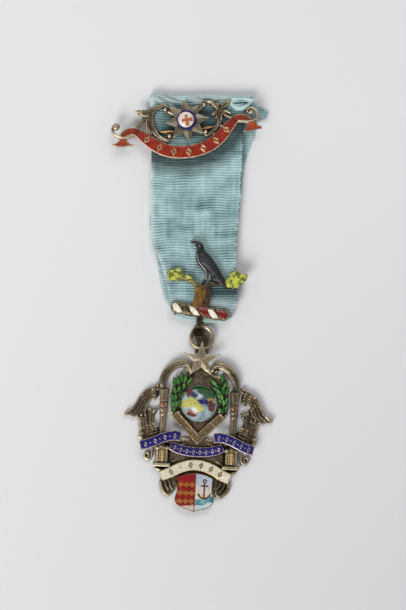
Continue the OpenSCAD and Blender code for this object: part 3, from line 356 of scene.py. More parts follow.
def relief(name, place, shapes, step, floor, material, tint=None, worn_reach=0.5, extra=()):
    """One closed mesh from shapes seen from above: their union's outline, their heights and a
    flat underside at floor. tint(x, y, depth, z) gives four colour channels. extra holds
    (points, faces) meshes in the group's own frame that belong to the same piece."""
    low = np.min([s[0] for s in shapes if s[3] == "add"], axis=0)
    high = np.max([s[1] for s in shapes if s[3] == "add"], axis=0)
    xs, ys = (np.arange(low[k], high[k] + step, step) for k in (0, 1))
    gx, gy = np.meshgrid(xs, ys, indexing="ij")
    shape = gx.shape
    depth, top = evaluate(shapes, gx.ravel(), gy.ravel(), floor, step)
    depth, top = depth.reshape(shape), top.reshape(shape)
    depth[[0, -1], :], depth[:, [0, -1]] = -1, -1
    inside = depth > 0
    ids = np.full(shape, -1)
    ids[inside] = np.arange(inside.sum())
    points_x, points_y = [gx[inside]], [gy[inside]]
    count = int(inside.sum())
    edge_ids = []
    for dx, dy in ((1, 0), (0, 1)):
        a = (slice(None, -1), slice(None)) if dx else (slice(None), slice(None, -1))
        b = (slice(1, None), slice(None)) if dx else (slice(None), slice(1, None))
        crossing = inside[a] != inside[b]
        share = depth[a][crossing] / (depth[a][crossing] - depth[b][crossing])
        # a little off the grid points, so that no face is a sliver
        share = np.clip(share, 0.02, 0.98)
        points_x.append(gx[a][crossing] + share * step * dx)
        points_y.append(gy[a][crossing] + share * step * dy)
        found = np.full(crossing.shape, -1)
        found[crossing] = count + np.arange(int(crossing.sum()))
        count += int(crossing.sum())
        edge_ids.append(found)
    x, y = np.concatenate(points_x), np.concatenate(points_y)
    rim = np.arange(count) >= int(inside.sum())
    point_depth, z = evaluate(shapes, x, y, floor, step)
    z = np.maximum(z, floor + THINNEST)

    corners = [ids[:-1, :-1], ids[1:, :-1], ids[1:, 1:], ids[:-1, 1:]]
    across, up = edge_ids
    edges = [across[:, :-1], up[1:, :], across[:, 1:], up[:-1, :]]
    code = sum((corners[k] >= 0) * (1 << k) for k in range(4))
    faces = []
    for case in range(1, 16):
        here = code == case
        if not here.any():
            continue
        walk = []
        for k in range(4):
            if case >> k & 1:
                walk.append((corners[k][here], False))
            if (case >> k & 1) != (case >> (k + 1) % 4 & 1):
                walk.append((edges[k][here], True))
        ring = np.stack([w[0] for w in walk], axis=1)
        faces += ring.tolist()
        faces += (ring[:, ::-1] + count).tolist()
        for k in range(len(walk)):
            a, b = walk[k], walk[(k + 1) % len(walk)]
            if a[1] and b[1]:
                faces += np.stack([b[0], a[0], a[0] + count, b[0] + count], axis=1).tolist()

    # how far each place stands proud; the metal is painted bright there, as rubbed wear and painted highlight
    reach = max(1, round(worn_reach / step))
    ground = np.where(inside, top, floor)
    proud = ground - blurred(blurred(ground, reach), reach)
    i = np.clip(((x - xs[0]) / step).round().astype(int), 0, shape[0] - 1)
    j = np.clip(((y - ys[0]) / step).round().astype(int), 0, shape[1] - 1)
    worn = np.where(rim, proud[i, j].clip(0), proud[i, j])
    points = np.concatenate([np.stack([x, y, z], axis=1), np.stack([x, y, np.full(count, floor)], axis=1)])
    worn = np.concatenate([worn, np.zeros(count)])
    seen = tint(x, y, np.where(rim, 0, point_depth), z) if tint else np.ones((count, 4))
    colours = np.concatenate([seen, seen])
    for more_points, more_faces in extra:
        faces += [[k + len(points) for k in face] for face in more_faces]
        points = np.concatenate([points, more_points])
        worn = np.concatenate([worn, np.full(len(more_points), EXTRA_WEAR_AND_HIGHLIGHT)])
        colours = np.concatenate([colours, np.ones((len(more_points), 4))])
    return add_mesh(name, place.world(points), faces, material, colours, worn)


def loop(x, y, z, around_n=40, wire_n=14):
    """A wire eye standing across the jewel, as points and faces."""
    points, faces = [], []
    for i in range(around_n):
        a = 2 * math.pi * i / around_n
        for j in range(wire_n):
            b = 2 * math.pi * j / wire_n
            reach = EYE_R + EYE_WIRE * math.cos(b)
            points.append([x + EYE_WIRE * math.sin(b), y + reach * math.cos(a), z + reach * math.sin(a)])
            here, beyond, beside = i * wire_n, (i + 1) % around_n * wire_n, (j + 1) % wire_n
            faces.append([here + j, here + beside, beyond + beside, beyond + j])
    return np.array(points), faces


def block(low, high):
    points = [[(low, high)[k >> n & 1][n] for n in range(3)] for k in range(8)]
    faces = [[0, 2, 3, 1], [4, 5, 7, 6], [0, 1, 5, 4], [2, 6, 7, 3], [0, 4, 6, 2], [1, 3, 7, 5]]
    return np.array(points, float), faces


def place_piece(piece, nodes):
    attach(piece, "root")
    if nodes:
        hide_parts(*nodes)
    return piece


# Mesh steps in millimetres
STEP, FINE, FINEST = 0.13, 0.105, 0.08


def add_relief(name, nodes, slot, place, shapes, material, tint=None, step=STEP, floor=0, **more):
    """A relief as a piece of the part; nodes are those that it replaces."""
    return place_piece(relief(name, place, shapes, step, floor, material, tint, **more), nodes)


def add_marks(name, slot, place, shapes, material):
    """Raised marks, rooted a little in what they stand on."""
    add_relief(name, [], slot, place, shapes, material, step=FINEST, floor=-0.1, worn_reach=0.3)


# Materials

def srgb(r, g, b):
    """A colour as seen, 0 to 255, as linear light."""
    return tuple((v / 255 / 12.92 if v <= 10 else ((v / 255 + 0.055) / 1.055) ** 2.4) for v in (r, g, b))


class Shader:
    """A node material; add() makes a node and sets or links its sockets."""

    def __init__(self, name):
        self.material = bpy.data.materials.new(name)
        self.material.use_nodes = True
        self.tree = self.material.node_tree
        self.tree.nodes.clear()
        self.place = self.add("ShaderNodeTexCoord").outputs["Object"]

    def add(self, kind, inputs=(), **settings):
        node = self.tree.nodes.new(kind)
        for key, value in settings.items():
            setattr(node, key, value)
        for key, value in dict(inputs).items():
            self.join(value, node.inputs[key])
        return node

    def join(self, value, socket):
        if isinstance(value, bpy.types.NodeSocket):
            self.tree.links.new(value, socket)
        elif isinstance(value, (tuple, list)) and len(value) == 3 and socket.type == "RGBA":
            socket.default_value = (*value, 1)
        else:
            socket.default_value = value

    def noise(self, size, detail, rough=0.6, stretch=None):
        """Noise from 0 to 1 with lumps of about size millimetres."""
        at = self.place
        if stretch:
            at = self.add("ShaderNodeMapping", {"Vector": at, "Scale": stretch}).outputs[0]
        return self.add("ShaderNodeTexNoise", {"Vector": at, "Scale": 1 / (size * MM), "Detail": detail,
                                               "Roughness": rough}).outputs["Fac"]

    def spread(self, value, low, high, to_low=0.0, to_high=1.0):
        return self.add("ShaderNodeMapRange", {"Value": value, "From Min": low, "From Max": high,
                                               "To Min": to_low, "To Max": to_high}).outputs[0]

    def cloud(self, size, detail, low=0.0, high=1.0):
        """Soft noise spread from low to high."""
        return self.spread(self.noise(size, detail), 0.3, 0.7, low, high)

    def mix(self, share, a, b, mode="MIX"):
        node = self.add("ShaderNodeMix", data_type="RGBA", blend_type=mode)
        for value, index in ((share, 0), (a, 6), (b, 7)):
            self.join(value, node.inputs[index])
        return node.outputs[2]

    def sum(self, a, b):
        return self.add("ShaderNodeMath", {0: a, 1: b}).outputs[0]

    def attribute(self, name, output="Fac"):
        return self.add("ShaderNodeAttribute", attribute_name=name).outputs[output]

    def cavity(self, distance):
        return self.add("ShaderNodeAmbientOcclusion", {"Distance": distance * MM}, samples=8).outputs["AO"]

    def bump(self, height, depth, strength=1.0):
        return self.add("ShaderNodeBump", {"Height": height, "Distance": depth * MM,
                                           "Strength": strength}).outputs[0]

    def surface(self, inputs):
        shader = self.add("ShaderNodeBsdfPrincipled", inputs)
        self.add("ShaderNodeOutputMaterial", {"Surface": shader.outputs[0]})
        return self.material


def old_metal(name, dark, mid, bright=None, rough=0.4):
    """Tarnished metal, dark in its hollows. With bright, the mesh's tint tones it and its proud parts are
    painted bright, partly as rubbed metal and partly as painted highlight."""
    s = Shader(name)
    shade = s.spread(s.cavity(1.4), 0.2, 0.9)
    base = s.mix(s.cloud(2.4, 4), tuple(0.74 * c for c in mid), tuple(1.22 * c for c in mid))
    base = s.mix(s.spread(s.noise(0.4, 2), 0.3, 0.75, 0.0, 0.28), base, dark)
    if bright:
        # proud places painted bright: rubbed metal, and partly a painted highlight
        proud = s.sum(s.spread(s.attribute("worn"), -0.22, 0.42), s.cloud(0.8, 3, -0.16, 0.16))
        base = s.mix(s.spread(proud, -0.05, 0.34), dark, base)
        base = s.mix(s.spread(proud, 0.5, 1.05), base, bright)
    base = s.mix(shade, dark, base)
    if bright:
        base = s.mix(1.0, base, s.attribute("tint", "Color"), "MULTIPLY")
    return s.surface({"Base Color": base, "Metallic": 1.0,
                      "Roughness": s.cloud(0.9, 3, rough - 0.08, rough + 0.12),
                      "Normal": s.bump(s.noise(0.3, 3), 0.025, 0.5)})


def painted(name, rough=0.25, coat=0.28, vary=0.25, grain=0.6, bump=0.02):
    """Enamel or metal by the mesh's tint: its alpha is how far the place is bare metal."""
    s = Shader(name)
    colour, metal = s.attribute("tint", "Color"), s.attribute("tint", "Alpha")
    cloud = s.cloud(grain, 4, 1 - vary, 1 + vary)
    grey = s.add("ShaderNodeCombineColor", {0: cloud, 1: cloud, 2: cloud}).outputs[0]
    base = s.mix(1.0, colour, grey, "MULTIPLY")
    # darker in hollows and where parts meet, by occlusion: painted shade
    base = s.mix(s.spread(s.cavity(0.8), 0.2, 0.9), s.mix(0.75, base, (0.01, 0.008, 0.006)), base)
    return s.surface({"Base Color": base, "Metallic": metal, "Coat Weight": coat, "Coat Roughness": 0.08,
                      "Roughness": s.cloud(0.8, 2, rough - 0.05, rough + 0.1),
                      "Normal": s.bump(s.noise(1.2, 2), bump)})


def enamel(name, colour, deep):
    """A plain glossy enamel, a little cloudy."""
    s = Shader(name)
    return s.surface({"Base Color": s.mix(s.cloud(1.5, 4), deep, colour), "Coat Weight": 0.7,
                      "Coat Roughness": 0.06, "Roughness": s.cloud(0.6, 2, 0.2, 0.32),
                      "Normal": s.bump(s.noise(1.4, 2), 0.03)})


def silk():
    """Ribbed watered silk: its tint carries the moire, the selvedges' wear and painted highlight, and painted
    shade.
    """
    s = Shader("watered_silk")
    thread = s.noise(0.12, 2, 0.5, (1.0, 4.0, 1.0))
    base = s.mix(s.spread(thread, 0.3, 0.7, 0.0, 0.22), s.attribute("tint", "Color"), (0.08, 0.13, 0.13))
    # darker in its folds and hollows by occlusion: painted shade
    base = s.mix(s.spread(s.cavity(0.7), 0.25, 0.85), s.mix(0.7, base, (0.02, 0.04, 0.045)), base)
    return s.surface({"Base Color": base, "Roughness": s.cloud(3, 3, 0.42, 0.55),
                      "Sheen Weight": 0.11, "Sheen Roughness": 0.4, "Specular IOR Level": 0.3,
                      "Normal": s.bump(thread, 0.05, 0.5)})


DARK = srgb(38, 30, 22)
SILVER = old_metal("tarnished_silver", DARK, srgb(126, 110, 90), srgb(216, 200, 168))
STAR_SILVER = old_metal("star_silver", srgb(84, 74, 58), srgb(166, 153, 128), srgb(232, 222, 198), 0.42)
DARK_STAR = old_metal("dark_star_silver", srgb(60, 54, 44), srgb(138, 129, 110), srgb(200, 190, 160), 0.45)
GILT = old_metal("worn_gilt", srgb(60, 40, 18), srgb(150, 118, 66), srgb(232, 200, 130), 0.35)
ROUGH_GILT = old_metal("rough_gilt", srgb(62, 50, 38), srgb(132, 112, 84), srgb(226, 206, 166), 0.5)
PANEL_GILT = old_metal("panel_gilt", srgb(124, 98, 62), srgb(192, 166, 120), srgb(232, 214, 170), 0.5)
RIM_SILVER = old_metal("scroll_rim", DARK, srgb(196, 184, 178), rough=0.3)
RIM_GILT = old_metal("red_scroll_rim", DARK, srgb(240, 214, 194), rough=0.55)
MARK_SILVER = old_metal("scroll_marks", DARK, srgb(184, 176, 188), rough=0.3)
MARK_GILT = old_metal("red_scroll_marks", DARK, srgb(232, 184, 140), rough=0.3)
BARE_SILVER = old_metal("polished_wire", DARK, srgb(196, 178, 148), rough=0.3)
PAINTED = painted("painted_enamel")
LEAF_ENAMEL = painted("leaf_enamel", 0.3, 0.3)
BLACK_ENAMEL = painted("black_enamel", 0.4, 0.12)
BARK = painted("bark_enamel", 0.4, 0.12, 0.4, 0.9, 0.08)
SILK = silk()

# Pendant
CENTRAL_PLATE = [[-3.3, 18.6], [3.4, 18.6], [4.0, 16.6], [6.6, 16.2], [8.2, 14.8], [9.2, 12.2], [9.2, 6.0],
    [8.8, 3.4], [0, -5.4], [-8.6, 3.4], [-9.0, 6.0], [-8.9, 12.0], [-8.2, 14.2], [-6.4, 16.0], [-4.2, 16.4]]
BASE = [[0, -3.2], [3.5, -4.0], [9.9, -3.5], [11.8, -5.4], [13.2, -6.9], [13.2, -13.5], [12.6, -14.6],
    [11.3, -15.4], [10.6, -17.3], [10.9, -18.8], [9.5, -20.6], [8.0, -22.2], [6.9, -21.6], [5.6, -19.4],
    [0, -17.8]]
HEAD = [[0, 26.6], [1.6, 26.6], [2.4, 24.6], [2.2, 22.5], [1.6, 18], [0, 18]]
WING_LEFT = [[-14.12, 11.6], [-15.53, 11.6], [-17.29, 10.7], [-18.8, 9.0], [-20.08, 6.7], [-20.8, 5.1],
    [-22.34, 4.1], [-23.51, 3.5], [-23.3, 2.3], [-22.0, 2.7], [-21.27, 2.5], [-20.6, 1.95], [-19.7, 2.5],
    [-18.9, 2.2], [-18.0, 2.9], [-17.47, 2.5], [-16.73, 3.9], [-16.63, 5.9], [-16.32, 7.6], [-15.15, 8.1],
    [-14.12, 7.5], [-12.99, 8.9], [-13.2, 10.3]]
WING_RIGHT = [[14.16, 11.2], [15.44, 11.45], [17.49, 10.5], [19.2, 8.4], [20.76, 5.5], [22.05, 3.8],
    [23.48, 3.3], [23.42, 2.3], [22.54, 2.1], [21.7, 2.2], [20.76, 1.5], [20.1, 2.1], [19.3, 1.6],
    [18.54, 2.1], [17.01, 4.4], [15.93, 5.8], [15.64, 7.6], [14.46, 7.1], [13.3, 8.3], [13.4, 10.1]]
WING_RIDGES = [
    [[14.3, 11.0, 0.4], [17.1, 10.0, 0.5], [19.1, 7.7, 0.55], [20.9, 4.6, 0.5], [23.1, 2.9, 0.4]],
    [[14.2, 10.3, 0.36], [16.7, 9.2, 0.5], [18.5, 6.9, 0.52], [19.9, 4.2, 0.48], [21.8, 2.6, 0.35]],
    [[13.9, 9.4, 0.34], [16.1, 8.6, 0.46], [17.5, 6.5, 0.5], [18.7, 4.2, 0.46], [20.1, 2.3, 0.35]],
    [[13.6, 8.6, 0.3], [15.5, 8.0, 0.4], [16.7, 6.2, 0.45], [17.6, 4.5, 0.42], [18.6, 2.7, 0.3]],
    [[16.3, 7.4, 0.25], [16.9, 5.2, 0.3], [17.1, 3.6, 0.3]]]
WING_EDGE = [[14.1, 11.2, 0.2], [15.4, 11.4, 0.24], [17.4, 10.5, 0.24], [19.1, 8.5, 0.24],
    [20.5, 5.9, 0.22], [21.7, 4.1, 0.2], [23.3, 3.3, 0.2]]
KNUCKLES = [[15.0, 11.2, 0.42], [14.5, 10.5, 0.44], [14.3, 9.4, 0.46], [14.3, 8.1, 0.5], [23.3, 2.8, 0.5],
    [21.0, 2.2, 0.4], [19.6, 2.2, 0.4], [18.2, 2.6, 0.4]]
CURL_LEFT = [[-16.6, 5.4], [-15.6, 5.2], [-14.6, 4.9], [-13.5, 5.3], [-13.0, 4.5], [-14.0, 2.8],
    [-14.2, 1.6], [-13.7, 0.0], [-12.5, -2.1], [-15.4, -4.0], [-16.4, 2.1]]
CURL_RIGHT = [[16.4, 5.2], [15.4, 5.2], [14.0, 4.8], [13.5, 3.3], [14.3, 2.4], [14.6, 1.1], [13.8, -0.1],
    [12.9, -2.4], [16.6, -4.2], [17.1, 1.9]]
CURL_VEIN = [[13.4, 4.6, 0.22], [14.9, 4.2, 0.3], [15.5, 2.4, 0.34], [15.3, 0.4, 0.34], [14.3, -1.6, 0.3]]
LEG = [[16.7, 2.6], [17.3, 2.2], [19.3, 2.0], [19.0, -1.0], [18.3, -4.5], [16.2, -5.6], [15.4, -4.6],
    [16.3, 2.4]]
LEG_FOOT = [[17.1, -2.9], [18.9, -2.9], [19.1, -4.7], [17.3, -5.2]]
LEG_FLUTES = [
    [[18.5, 1.6, 0.42], [17.7, -3.0, 0.4]],
    [[17.6, 1.8, 0.32], [16.8, -3.9, 0.3]],
    [[16.7, 2.4, 0.28], [15.8, -3.0, 0.28]]]
STEPS = [[12.2, -1.9], [13.2, -0.4], [14.0, 0.5], [16.5, 0.6], [16.5, -6.2], [12.0, -6.2]]
STEP_RIDGES = [
    [[13.7, 0.1, 0.34], [16.1, -0.6, 0.34]],
    [[13.3, -0.8, 0.32], [16.0, -1.5, 0.32]],
    [[13.1, -1.6, 0.32], [15.9, -2.4, 0.32]],
    [[12.8, -2.5, 0.32], [15.5, -3.5, 0.32]]]
ARCH_LEFT = [[-11.13, 11.3, 0.8], [-12.01, 13.14, 1.15], [-11.67, 15.16, 1.3], [-10.61, 17.11, 1.38],
    [-8.9, 18.81, 1.38], [-6.75, 19.76, 1.35], [-4.74, 19.72, 1.2], [-3.48, 18.49, 0.95],
    [-3.19, 16.8, 0.6]]
ARCH_RIGHT = [[11.24, 11.2, 0.8], [11.57, 13.37, 1.15], [11.03, 15.34, 1.35], [9.71, 17.48, 1.42],
    [7.83, 19.08, 1.42], [5.79, 19.78, 1.25], [4.21, 19.29, 0.95], [3.72, 17.97, 0.6]]
VOLUTE_BALLS = [[-4.45, 18.0, 0.62], [-10.4, 11.2, 0.72], [5.0, 17.7, 0.66], [10.4, 11.1, 0.72],
    [-8.43, 4.0, 0.5], [-6.5, 4.2, 0.42], [6.6, 5.0, 0.42], [8.64, 3.7, 0.5], [-14.2, 4.1, 0.5],
    [14.2, 3.4, 0.6], [17.0, 2.5, 0.3], [-17.0, 2.9, 0.3]]
WING_RINGS = [[-13.7, 11.8], [13.8, 12.0]]
COLUMN_X, COLUMN_R, COLUMN_Z = 11.3, 1.4, 1.4
COLUMN_FOOT, COLUMN_TOP = -6.97, 11.2
COLUMN_PROFILE = [[0, 0.96], [0.03, 0.96], [0.05, 0.82], [0.07, 0.76], [0.545, 0.75], [0.555, 0.88],
    [0.585, 0.88], [0.595, 0.72], [0.61, 0.72], [0.62, 0.9], [0.65, 0.97], [0.685, 0.9], [0.69, 0.76],
    [0.7, 0.95], [0.735, 1.0], [0.77, 0.95], [0.775, 0.78], [0.79, 0.78], [0.8, 1.0], [0.82, 1.0],
    [0.83, 0.9], [0.88, 0.95], [0.93, 1.03], [0.96, 1.05], [1.0, 1.0]]
RED_RING = (0.69, 0.775)
PLINTH_X, PLINTH_HALF, PLINTH_TOP, PLINTH_BOTTOM, PLINTH_Z = 11.05, 1.85, -6.75, -12.4, 2.4
PANEL_HALF_W, PANEL_HALF_H, PANEL_Y = 1.1, 1.95, -9.75
SCROLL_CURL = [[14.2, -7.6, 0.34], [14.25, -9.4, 0.4], [14.5, -10.7, 0.44], [15.4, -11.35, 0.44],
    [16.4, -10.8, 0.42], [16.55, -9.9, 0.38], [15.9, -9.2, 0.36], [15.2, -9.7, 0.34], [15.4, -10.4, 0.42]]
FOOT_LEAVES = [
    [[-9.7, -17.4, 0.4], [-9.3, -19.2, 0.5], [-8.3, -20.7, 0.4]],
    [[-8.4, -17.2, 0.3], [-8.0, -18.9, 0.45], [-7.2, -20.3, 0.3]],
    [[9.6, -17.2, 0.4], [9.2, -19.0, 0.5], [8.2, -20.5, 0.4]],
    [[8.3, -17.0, 0.3], [7.8, -18.7, 0.45], [7.0, -19.6, 0.3]],
    [[-11.0, -18.3, 0.5], [-10.5, -19.9, 0.75], [-9.5, -21.6, 0.75], [-8.4, -22.3, 0.55],
     [-7.6, -21.5, 0.4]],
    [[10.7, -18.2, 0.6], [10.5, -19.7, 0.8], [9.4, -21.1, 0.8], [8.1, -22.2, 0.6], [7.0, -21.6, 0.5],
     [6.7, -20.5, 0.4]]]
BASE_LEAVES = [
    [[6.0, -10.9, 0.3], [7.2, -11.4, 0.5], [8.7, -12.3, 0.3]],
    [[6.6, -12.0, 0.2], [8.3, -13.2, 0.4]],
    [[9.4, -14.6, 0.5], [11.4, -14.5, 0.75], [12.7, -14.0, 0.4]],
    [[9.6, -2.9, 0.3], [10.9, -5.0, 0.5]],
    [[3.4, -5.6, 0.3], [5.6, -6.2, 0.5], [7.6, -5.2, 0.4]],
    [[8.2, -3.9, 0.3], [9.4, -5.4, 0.5]]]


def both(make, rows):
    """The same shape on the right and, mirrored, on the left."""
    return [make(side(rows)) for side in (np.array, flipped)]


def slab(x, y, half_w, half_h, top, edge=0.3, drop=0.3, **more):
    """An upright rectangular plate."""
    corners = [[x + i * half_w, y + j * half_h] for i, j in ((-1, -1), (1, -1), (1, 1), (-1, 1))]
    return plate(corners, top, edge, drop, **more)


def column(x0):
    """A turned column lying down: its radius follows the profile, with crisp rings."""
    rows = np.array([[COLUMN_FOOT + s * (COLUMN_TOP - COLUMN_FOOT), r * COLUMN_R] for s, r in COLUMN_PROFILE])
    foot, top = rows[0, 0], rows[-1, 0]

    def at(x, y):
        radius, gap = np.interp(y, rows[:, 0], rows[:, 1]), np.abs(x - x0)
        depth = np.minimum(radius - gap, np.minimum(y - foot, top - y))
        return depth, COLUMN_Z + np.sqrt(np.clip(radius ** 2 - gap ** 2, 0, None))
    return around([[x0, foot], [x0, top]], 1.6, at)


def pendant_shapes():
    def pitted(x, y, depth):
        return 0.08 * stipple(x, y) + 0.16 * noise(x / 0.9, y / 0.9, 52) - 0.08

    def worn_away(a, run):
        return -0.3 * noise(a / 0.5, run / 0.7, 50)

    def grooved(a, run):
        return -0.24 * bell(a - 0.5, 0.12) - 0.14 * bell(a + 0.3, 0.14)

    def ridges(paths, foot, rise, wear=None, curve=smooth):
        for path in paths:
            shapes.extend(both(lambda p: ridge(curve(p), PLATE_T + foot, rise, wear), path))

    shapes = [plate(CENTRAL_PLATE, PLATE_T - 0.15, detail=pitted),
              plate(mirrored(BASE), PLATE_T - 0.05, detail=pitted),
              plate(mirrored(HEAD), PLATE_T - 0.2, 0.5, 0.3), disc(0, 28, 2.3, PLATE_T - 0.3)]
    shapes += [plate(points, PLATE_T + 0.15, 1.0, 0.5) for points in (WING_LEFT, WING_RIGHT)]
    shapes += [plate(points, PLATE_T + 0.25, 0.9, 0.5) for points in (CURL_LEFT, CURL_RIGHT)]
    for points, top in ((LEG, PLATE_T + 0.3), (LEG_FOOT, PLATE_T + 0.8), (STEPS, PLATE_T)):
        shapes += both(lambda p, top=top: plate(p, top, 0.4, 0.3), points)
    ridges(WING_RIDGES, 0.15, 0.4, worn_away)
    ridges([WING_EDGE], 0.1, 0.6)
    ridges([CURL_VEIN], 0.2, 0.4)
    ridges(LEG_FLUTES, 0.3, 0.32, worn_away, np.array)
    ridges(STEP_RIDGES, 0.1, 0.35, curve=np.array)
    for x, y, r in KNUCKLES:
        shapes += [ball(side * x, y, PLATE_T + 0.15, r) for side in (1, -1)]
    for x, y in WING_RINGS:
        shapes += [tube(circle(x, y, 0.66, 0.36), PLATE_T), ball(x, y, PLATE_T - 0.1, 0.32)]
    # columns with their rings, and arches from volute to volute
    shapes += [column(COLUMN_X), column(-COLUMN_X)]
    shapes += [tube(smooth(path), COLUMN_Z, grooved) for path in (ARCH_LEFT, ARCH_RIGHT)]
    shapes += [ball(x, y, COLUMN_Z + 0.1, r) for x, y, r in VOLUTE_BALLS]
    # plinths with caps, base slabs and sunk panels
    middle, half_h = (PLINTH_TOP + PLINTH_BOTTOM) / 2, (PLINTH_TOP - PLINTH_BOTTOM) / 2
    for x in (PLINTH_X, -PLINTH_X):
        shapes += [slab(x, middle, PLINTH_HALF, half_h, PLINTH_Z),
                   slab(x, PLINTH_TOP - 0.6, PLINTH_HALF + 0.3, 0.3, PLINTH_Z + 0.3),
                   slab(x, PLINTH_BOTTOM - 0.35, 2.75, 0.5, PLINTH_Z + 0.5, 0.25, 0.2),
                   slab(x, PANEL_Y, PANEL_HALF_W, PANEL_HALF_H, PLINTH_Z - 0.4, drop=0, role="cut")]
    # open scrolls beside the plinths, and the leaves of the base
    shapes += both(lambda p: tube(smooth(p), PLATE_T - 0.2), SCROLL_CURL)
    shapes += [ridge(smooth(path), PLATE_T, 0.5, lambda a, run: -0.1 * bell(a, 0.25)) for path in FOOT_LEAVES]
    ridges(BASE_LEAVES, -0.15, 0.6)
    return shapes


def pendant_tone(x, y, depth, z):
    """A reddish ring on each column; hollows, columns, arches, feet and wings duller; the right side darker,
    as painted shade.
    """
    share = (y - COLUMN_FOOT) / (COLUMN_TOP - COLUMN_FOOT)
    on_column = np.abs(np.abs(x) - COLUMN_X) < COLUMN_R
    red = on_column & (share > RED_RING[0]) & (share < RED_RING[1])
    colour = np.where(red[:, None], (1.0, 0.66, 0.6), (1.0, 1.0, 1.0))
    hollow = (y > 23.5) | ((z < PLATE_T - 0.05) & (y > -14.5))
    turned = on_column & (y > COLUMN_FOOT) & (y < COLUMN_TOP) & ~red
    arch = (y > COLUMN_TOP) & (np.abs(x) > 2.8) & (z > COLUMN_Z + 0.15)
    feet = (y < -16.8) & (np.abs(x) > 6.3)
    wings = (np.abs(x) > 13.2) & (y > 1)
    # x > 7: the right side darker, as painted shade
    for here, tone in ((hollow, 0.63), (hollow & (y > 9) & (y < 23.5), 1.45), (turned, 0.72), (arch, 0.8),
                       (arch & (y < 17.6), 0.62), (feet & (z < PLATE_T - 0.2), 1.9),
                       (feet & (z > PLATE_T), 0.72), (wings & (z > PLATE_T + 0.2), 0.78), (x > 7, 0.76)):
        colour = colour * np.where(here, tone, 1.0)[:, None]
    return toned(colour, 1)


add_relief("pendant_metalwork", ["pendant_frame"], "silver", pendant, pendant_shapes(), SILVER, pendant_tone,
           step=0.18, extra=[loop(0, EYE_V, ring_z)])

# The pendant's star

def star_shape(count, outer, inner, edge, rise, tips=None):
    """A faceted star: a crest along each ray and a valley between."""
    tips = np.array(tips or [1] * count)
    half = math.pi / count
    notch_u, notch_v = inner * math.cos(half), inner * math.sin(half)

    def at(x, y):
        part = np.arctan2(x, y) % (2 * math.pi) / (2 * math.pi) * count
        ray = np.round(part)
        off, tip = (part - ray) * 2 * math.pi / count, outer * tips[ray.astype(int) % count]
        gap = np.hypot(x, y)
        u, v = gap * np.cos(off), np.abs(gap * np.sin(off))
        # the ray's side runs from its tip to the notch
        ex, length = notch_u - tip, np.hypot(notch_u - tip, notch_v)
        depth = (ex * v - notch_v * (u - tip)) / length
        grain = 0.05 * (noise(x / 0.4, y / 0.4, 60) - 0.5)
        return depth, edge + rise * np.clip(depth / (tip * notch_v / length), 0, 1) + grain
    return around([[0, 0]], outer * tips.max() + 0.3, at)


STAR_R, STAR_V, STAR_BASE = 5.9, 21.33, 3.5
star_tips = [ball(STAR_R * math.sin(k * math.radians(72)), STAR_R * math.cos(k * math.radians(72)), 0.2, 0.34)
             for k in (1, 4)]
add_relief("pendant_star_facets", ["pendant_star"], "star_silver", pendant.shifted(0, STAR_V, STAR_BASE),
           [star_shape(5, STAR_R, 0.40 * STAR_R, 0.7, 0.4)] + star_tips, STAR_SILVER, worn_reach=0.35)

# Globe
GLOBE_R, GLOBE_V = 5.9, 7.344
GLOBE_SEA, GLOBE_PALE = srgb(116, 146, 156), srgb(176, 190, 192)
GREEN, BLUE_LAND, YELLOW = srgb(4, 84, 30), srgb(14, 26, 96), srgb(186, 184, 92)
# x, y, half length, half width, turn and colour of each land
GLOBE_PATCHES = [[-3.4, 3.2, 0.9, 1.6, -20, srgb(120, 30, 40)], [-1.2, 5.0, 1.8, 0.6, 5, GREEN],
    [1.9, 4.1, 3.2, 1.5, -12, GREEN], [3.4, 2.5, 1.7, 1.0, -20, GREEN], [-1.7, 2.7, 1.3, 0.8, 0, BLUE_LAND],
    [1.1, 0.9, 2.1, 1.0, -8, BLUE_LAND], [-2.9, 0.1, 2.7, 2.0, 10, YELLOW],
    [0.2, -1.4, 1.7, 1.1, -20, YELLOW], [-2.2, -2.6, 2.0, 0.6, -10, srgb(156, 84, 34)],
    [-2.3, -3.5, 1.8, 0.8, -10, srgb(96, 10, 14)], [3.9, 1.3, 1.5, 0.6, -10, srgb(176, 140, 60)],
    [4.0, -1.2, 1.4, 2.2, 22, srgb(92, 6, 20)]]


def globe_tint(x, y, depth, z):
    colour = blend(GLOBE_SEA, GLOBE_PALE, noise(x / 1.5, y / 1.5, 5))
    for px, py, a, b, turn, land in GLOBE_PATCHES:
        u, v = local(x, y, px, py, turn)
        edge = 1 - np.hypot(u / a, v / b) + 0.8 * (noise(x / 1.3, y / 1.3, 7) - 0.5)
        colour = blend(colour, land, np.clip(edge / 0.15, 0, 1))
    speck = (noise(x / 0.35, y / 0.35, 9) > 0.76) & (noise(x / 1.6, y / 1.6, 4) > 0.42)
    colour = blend(colour, srgb(34, 26, 22), 0.7 * speck)
    # meridians and parallels
    bow_x, bow_y = (np.sqrt(np.clip(1 - (v / GLOBE_R) ** 2, 0.05, 1)) for v in (y, x))
    line = 0
    for run in (x / bow_x, y / bow_y):
        line = np.maximum(line, np.clip((np.abs((run / 1.5) % 1 - 0.5) - 0.44) / 0.04, 0, 1))
    colour = blend(colour, srgb(206, 210, 200), 0.22 * line)
    rim = np.clip(1 - depth / 0.3, 0, 1)
    return toned(blend(colour, srgb(212, 204, 200), rim), 0.7 * rim)


on_plate = pendant.shifted(0, 0, PLATE_T + SEAT)
add_relief("globe_dome", ["globe"], "globe_enamel", pendant.shifted(0, GLOBE_V, PLATE_T + SEAT),
           [dome(GLOBE_R, 3.6)], PAINTED, globe_tint)

# Try square
SQUARE_FOOT, SQUARE_ARM, SQUARE_W, SQUARE_LINE = -5.805, 12.22, 2.546, 8.0


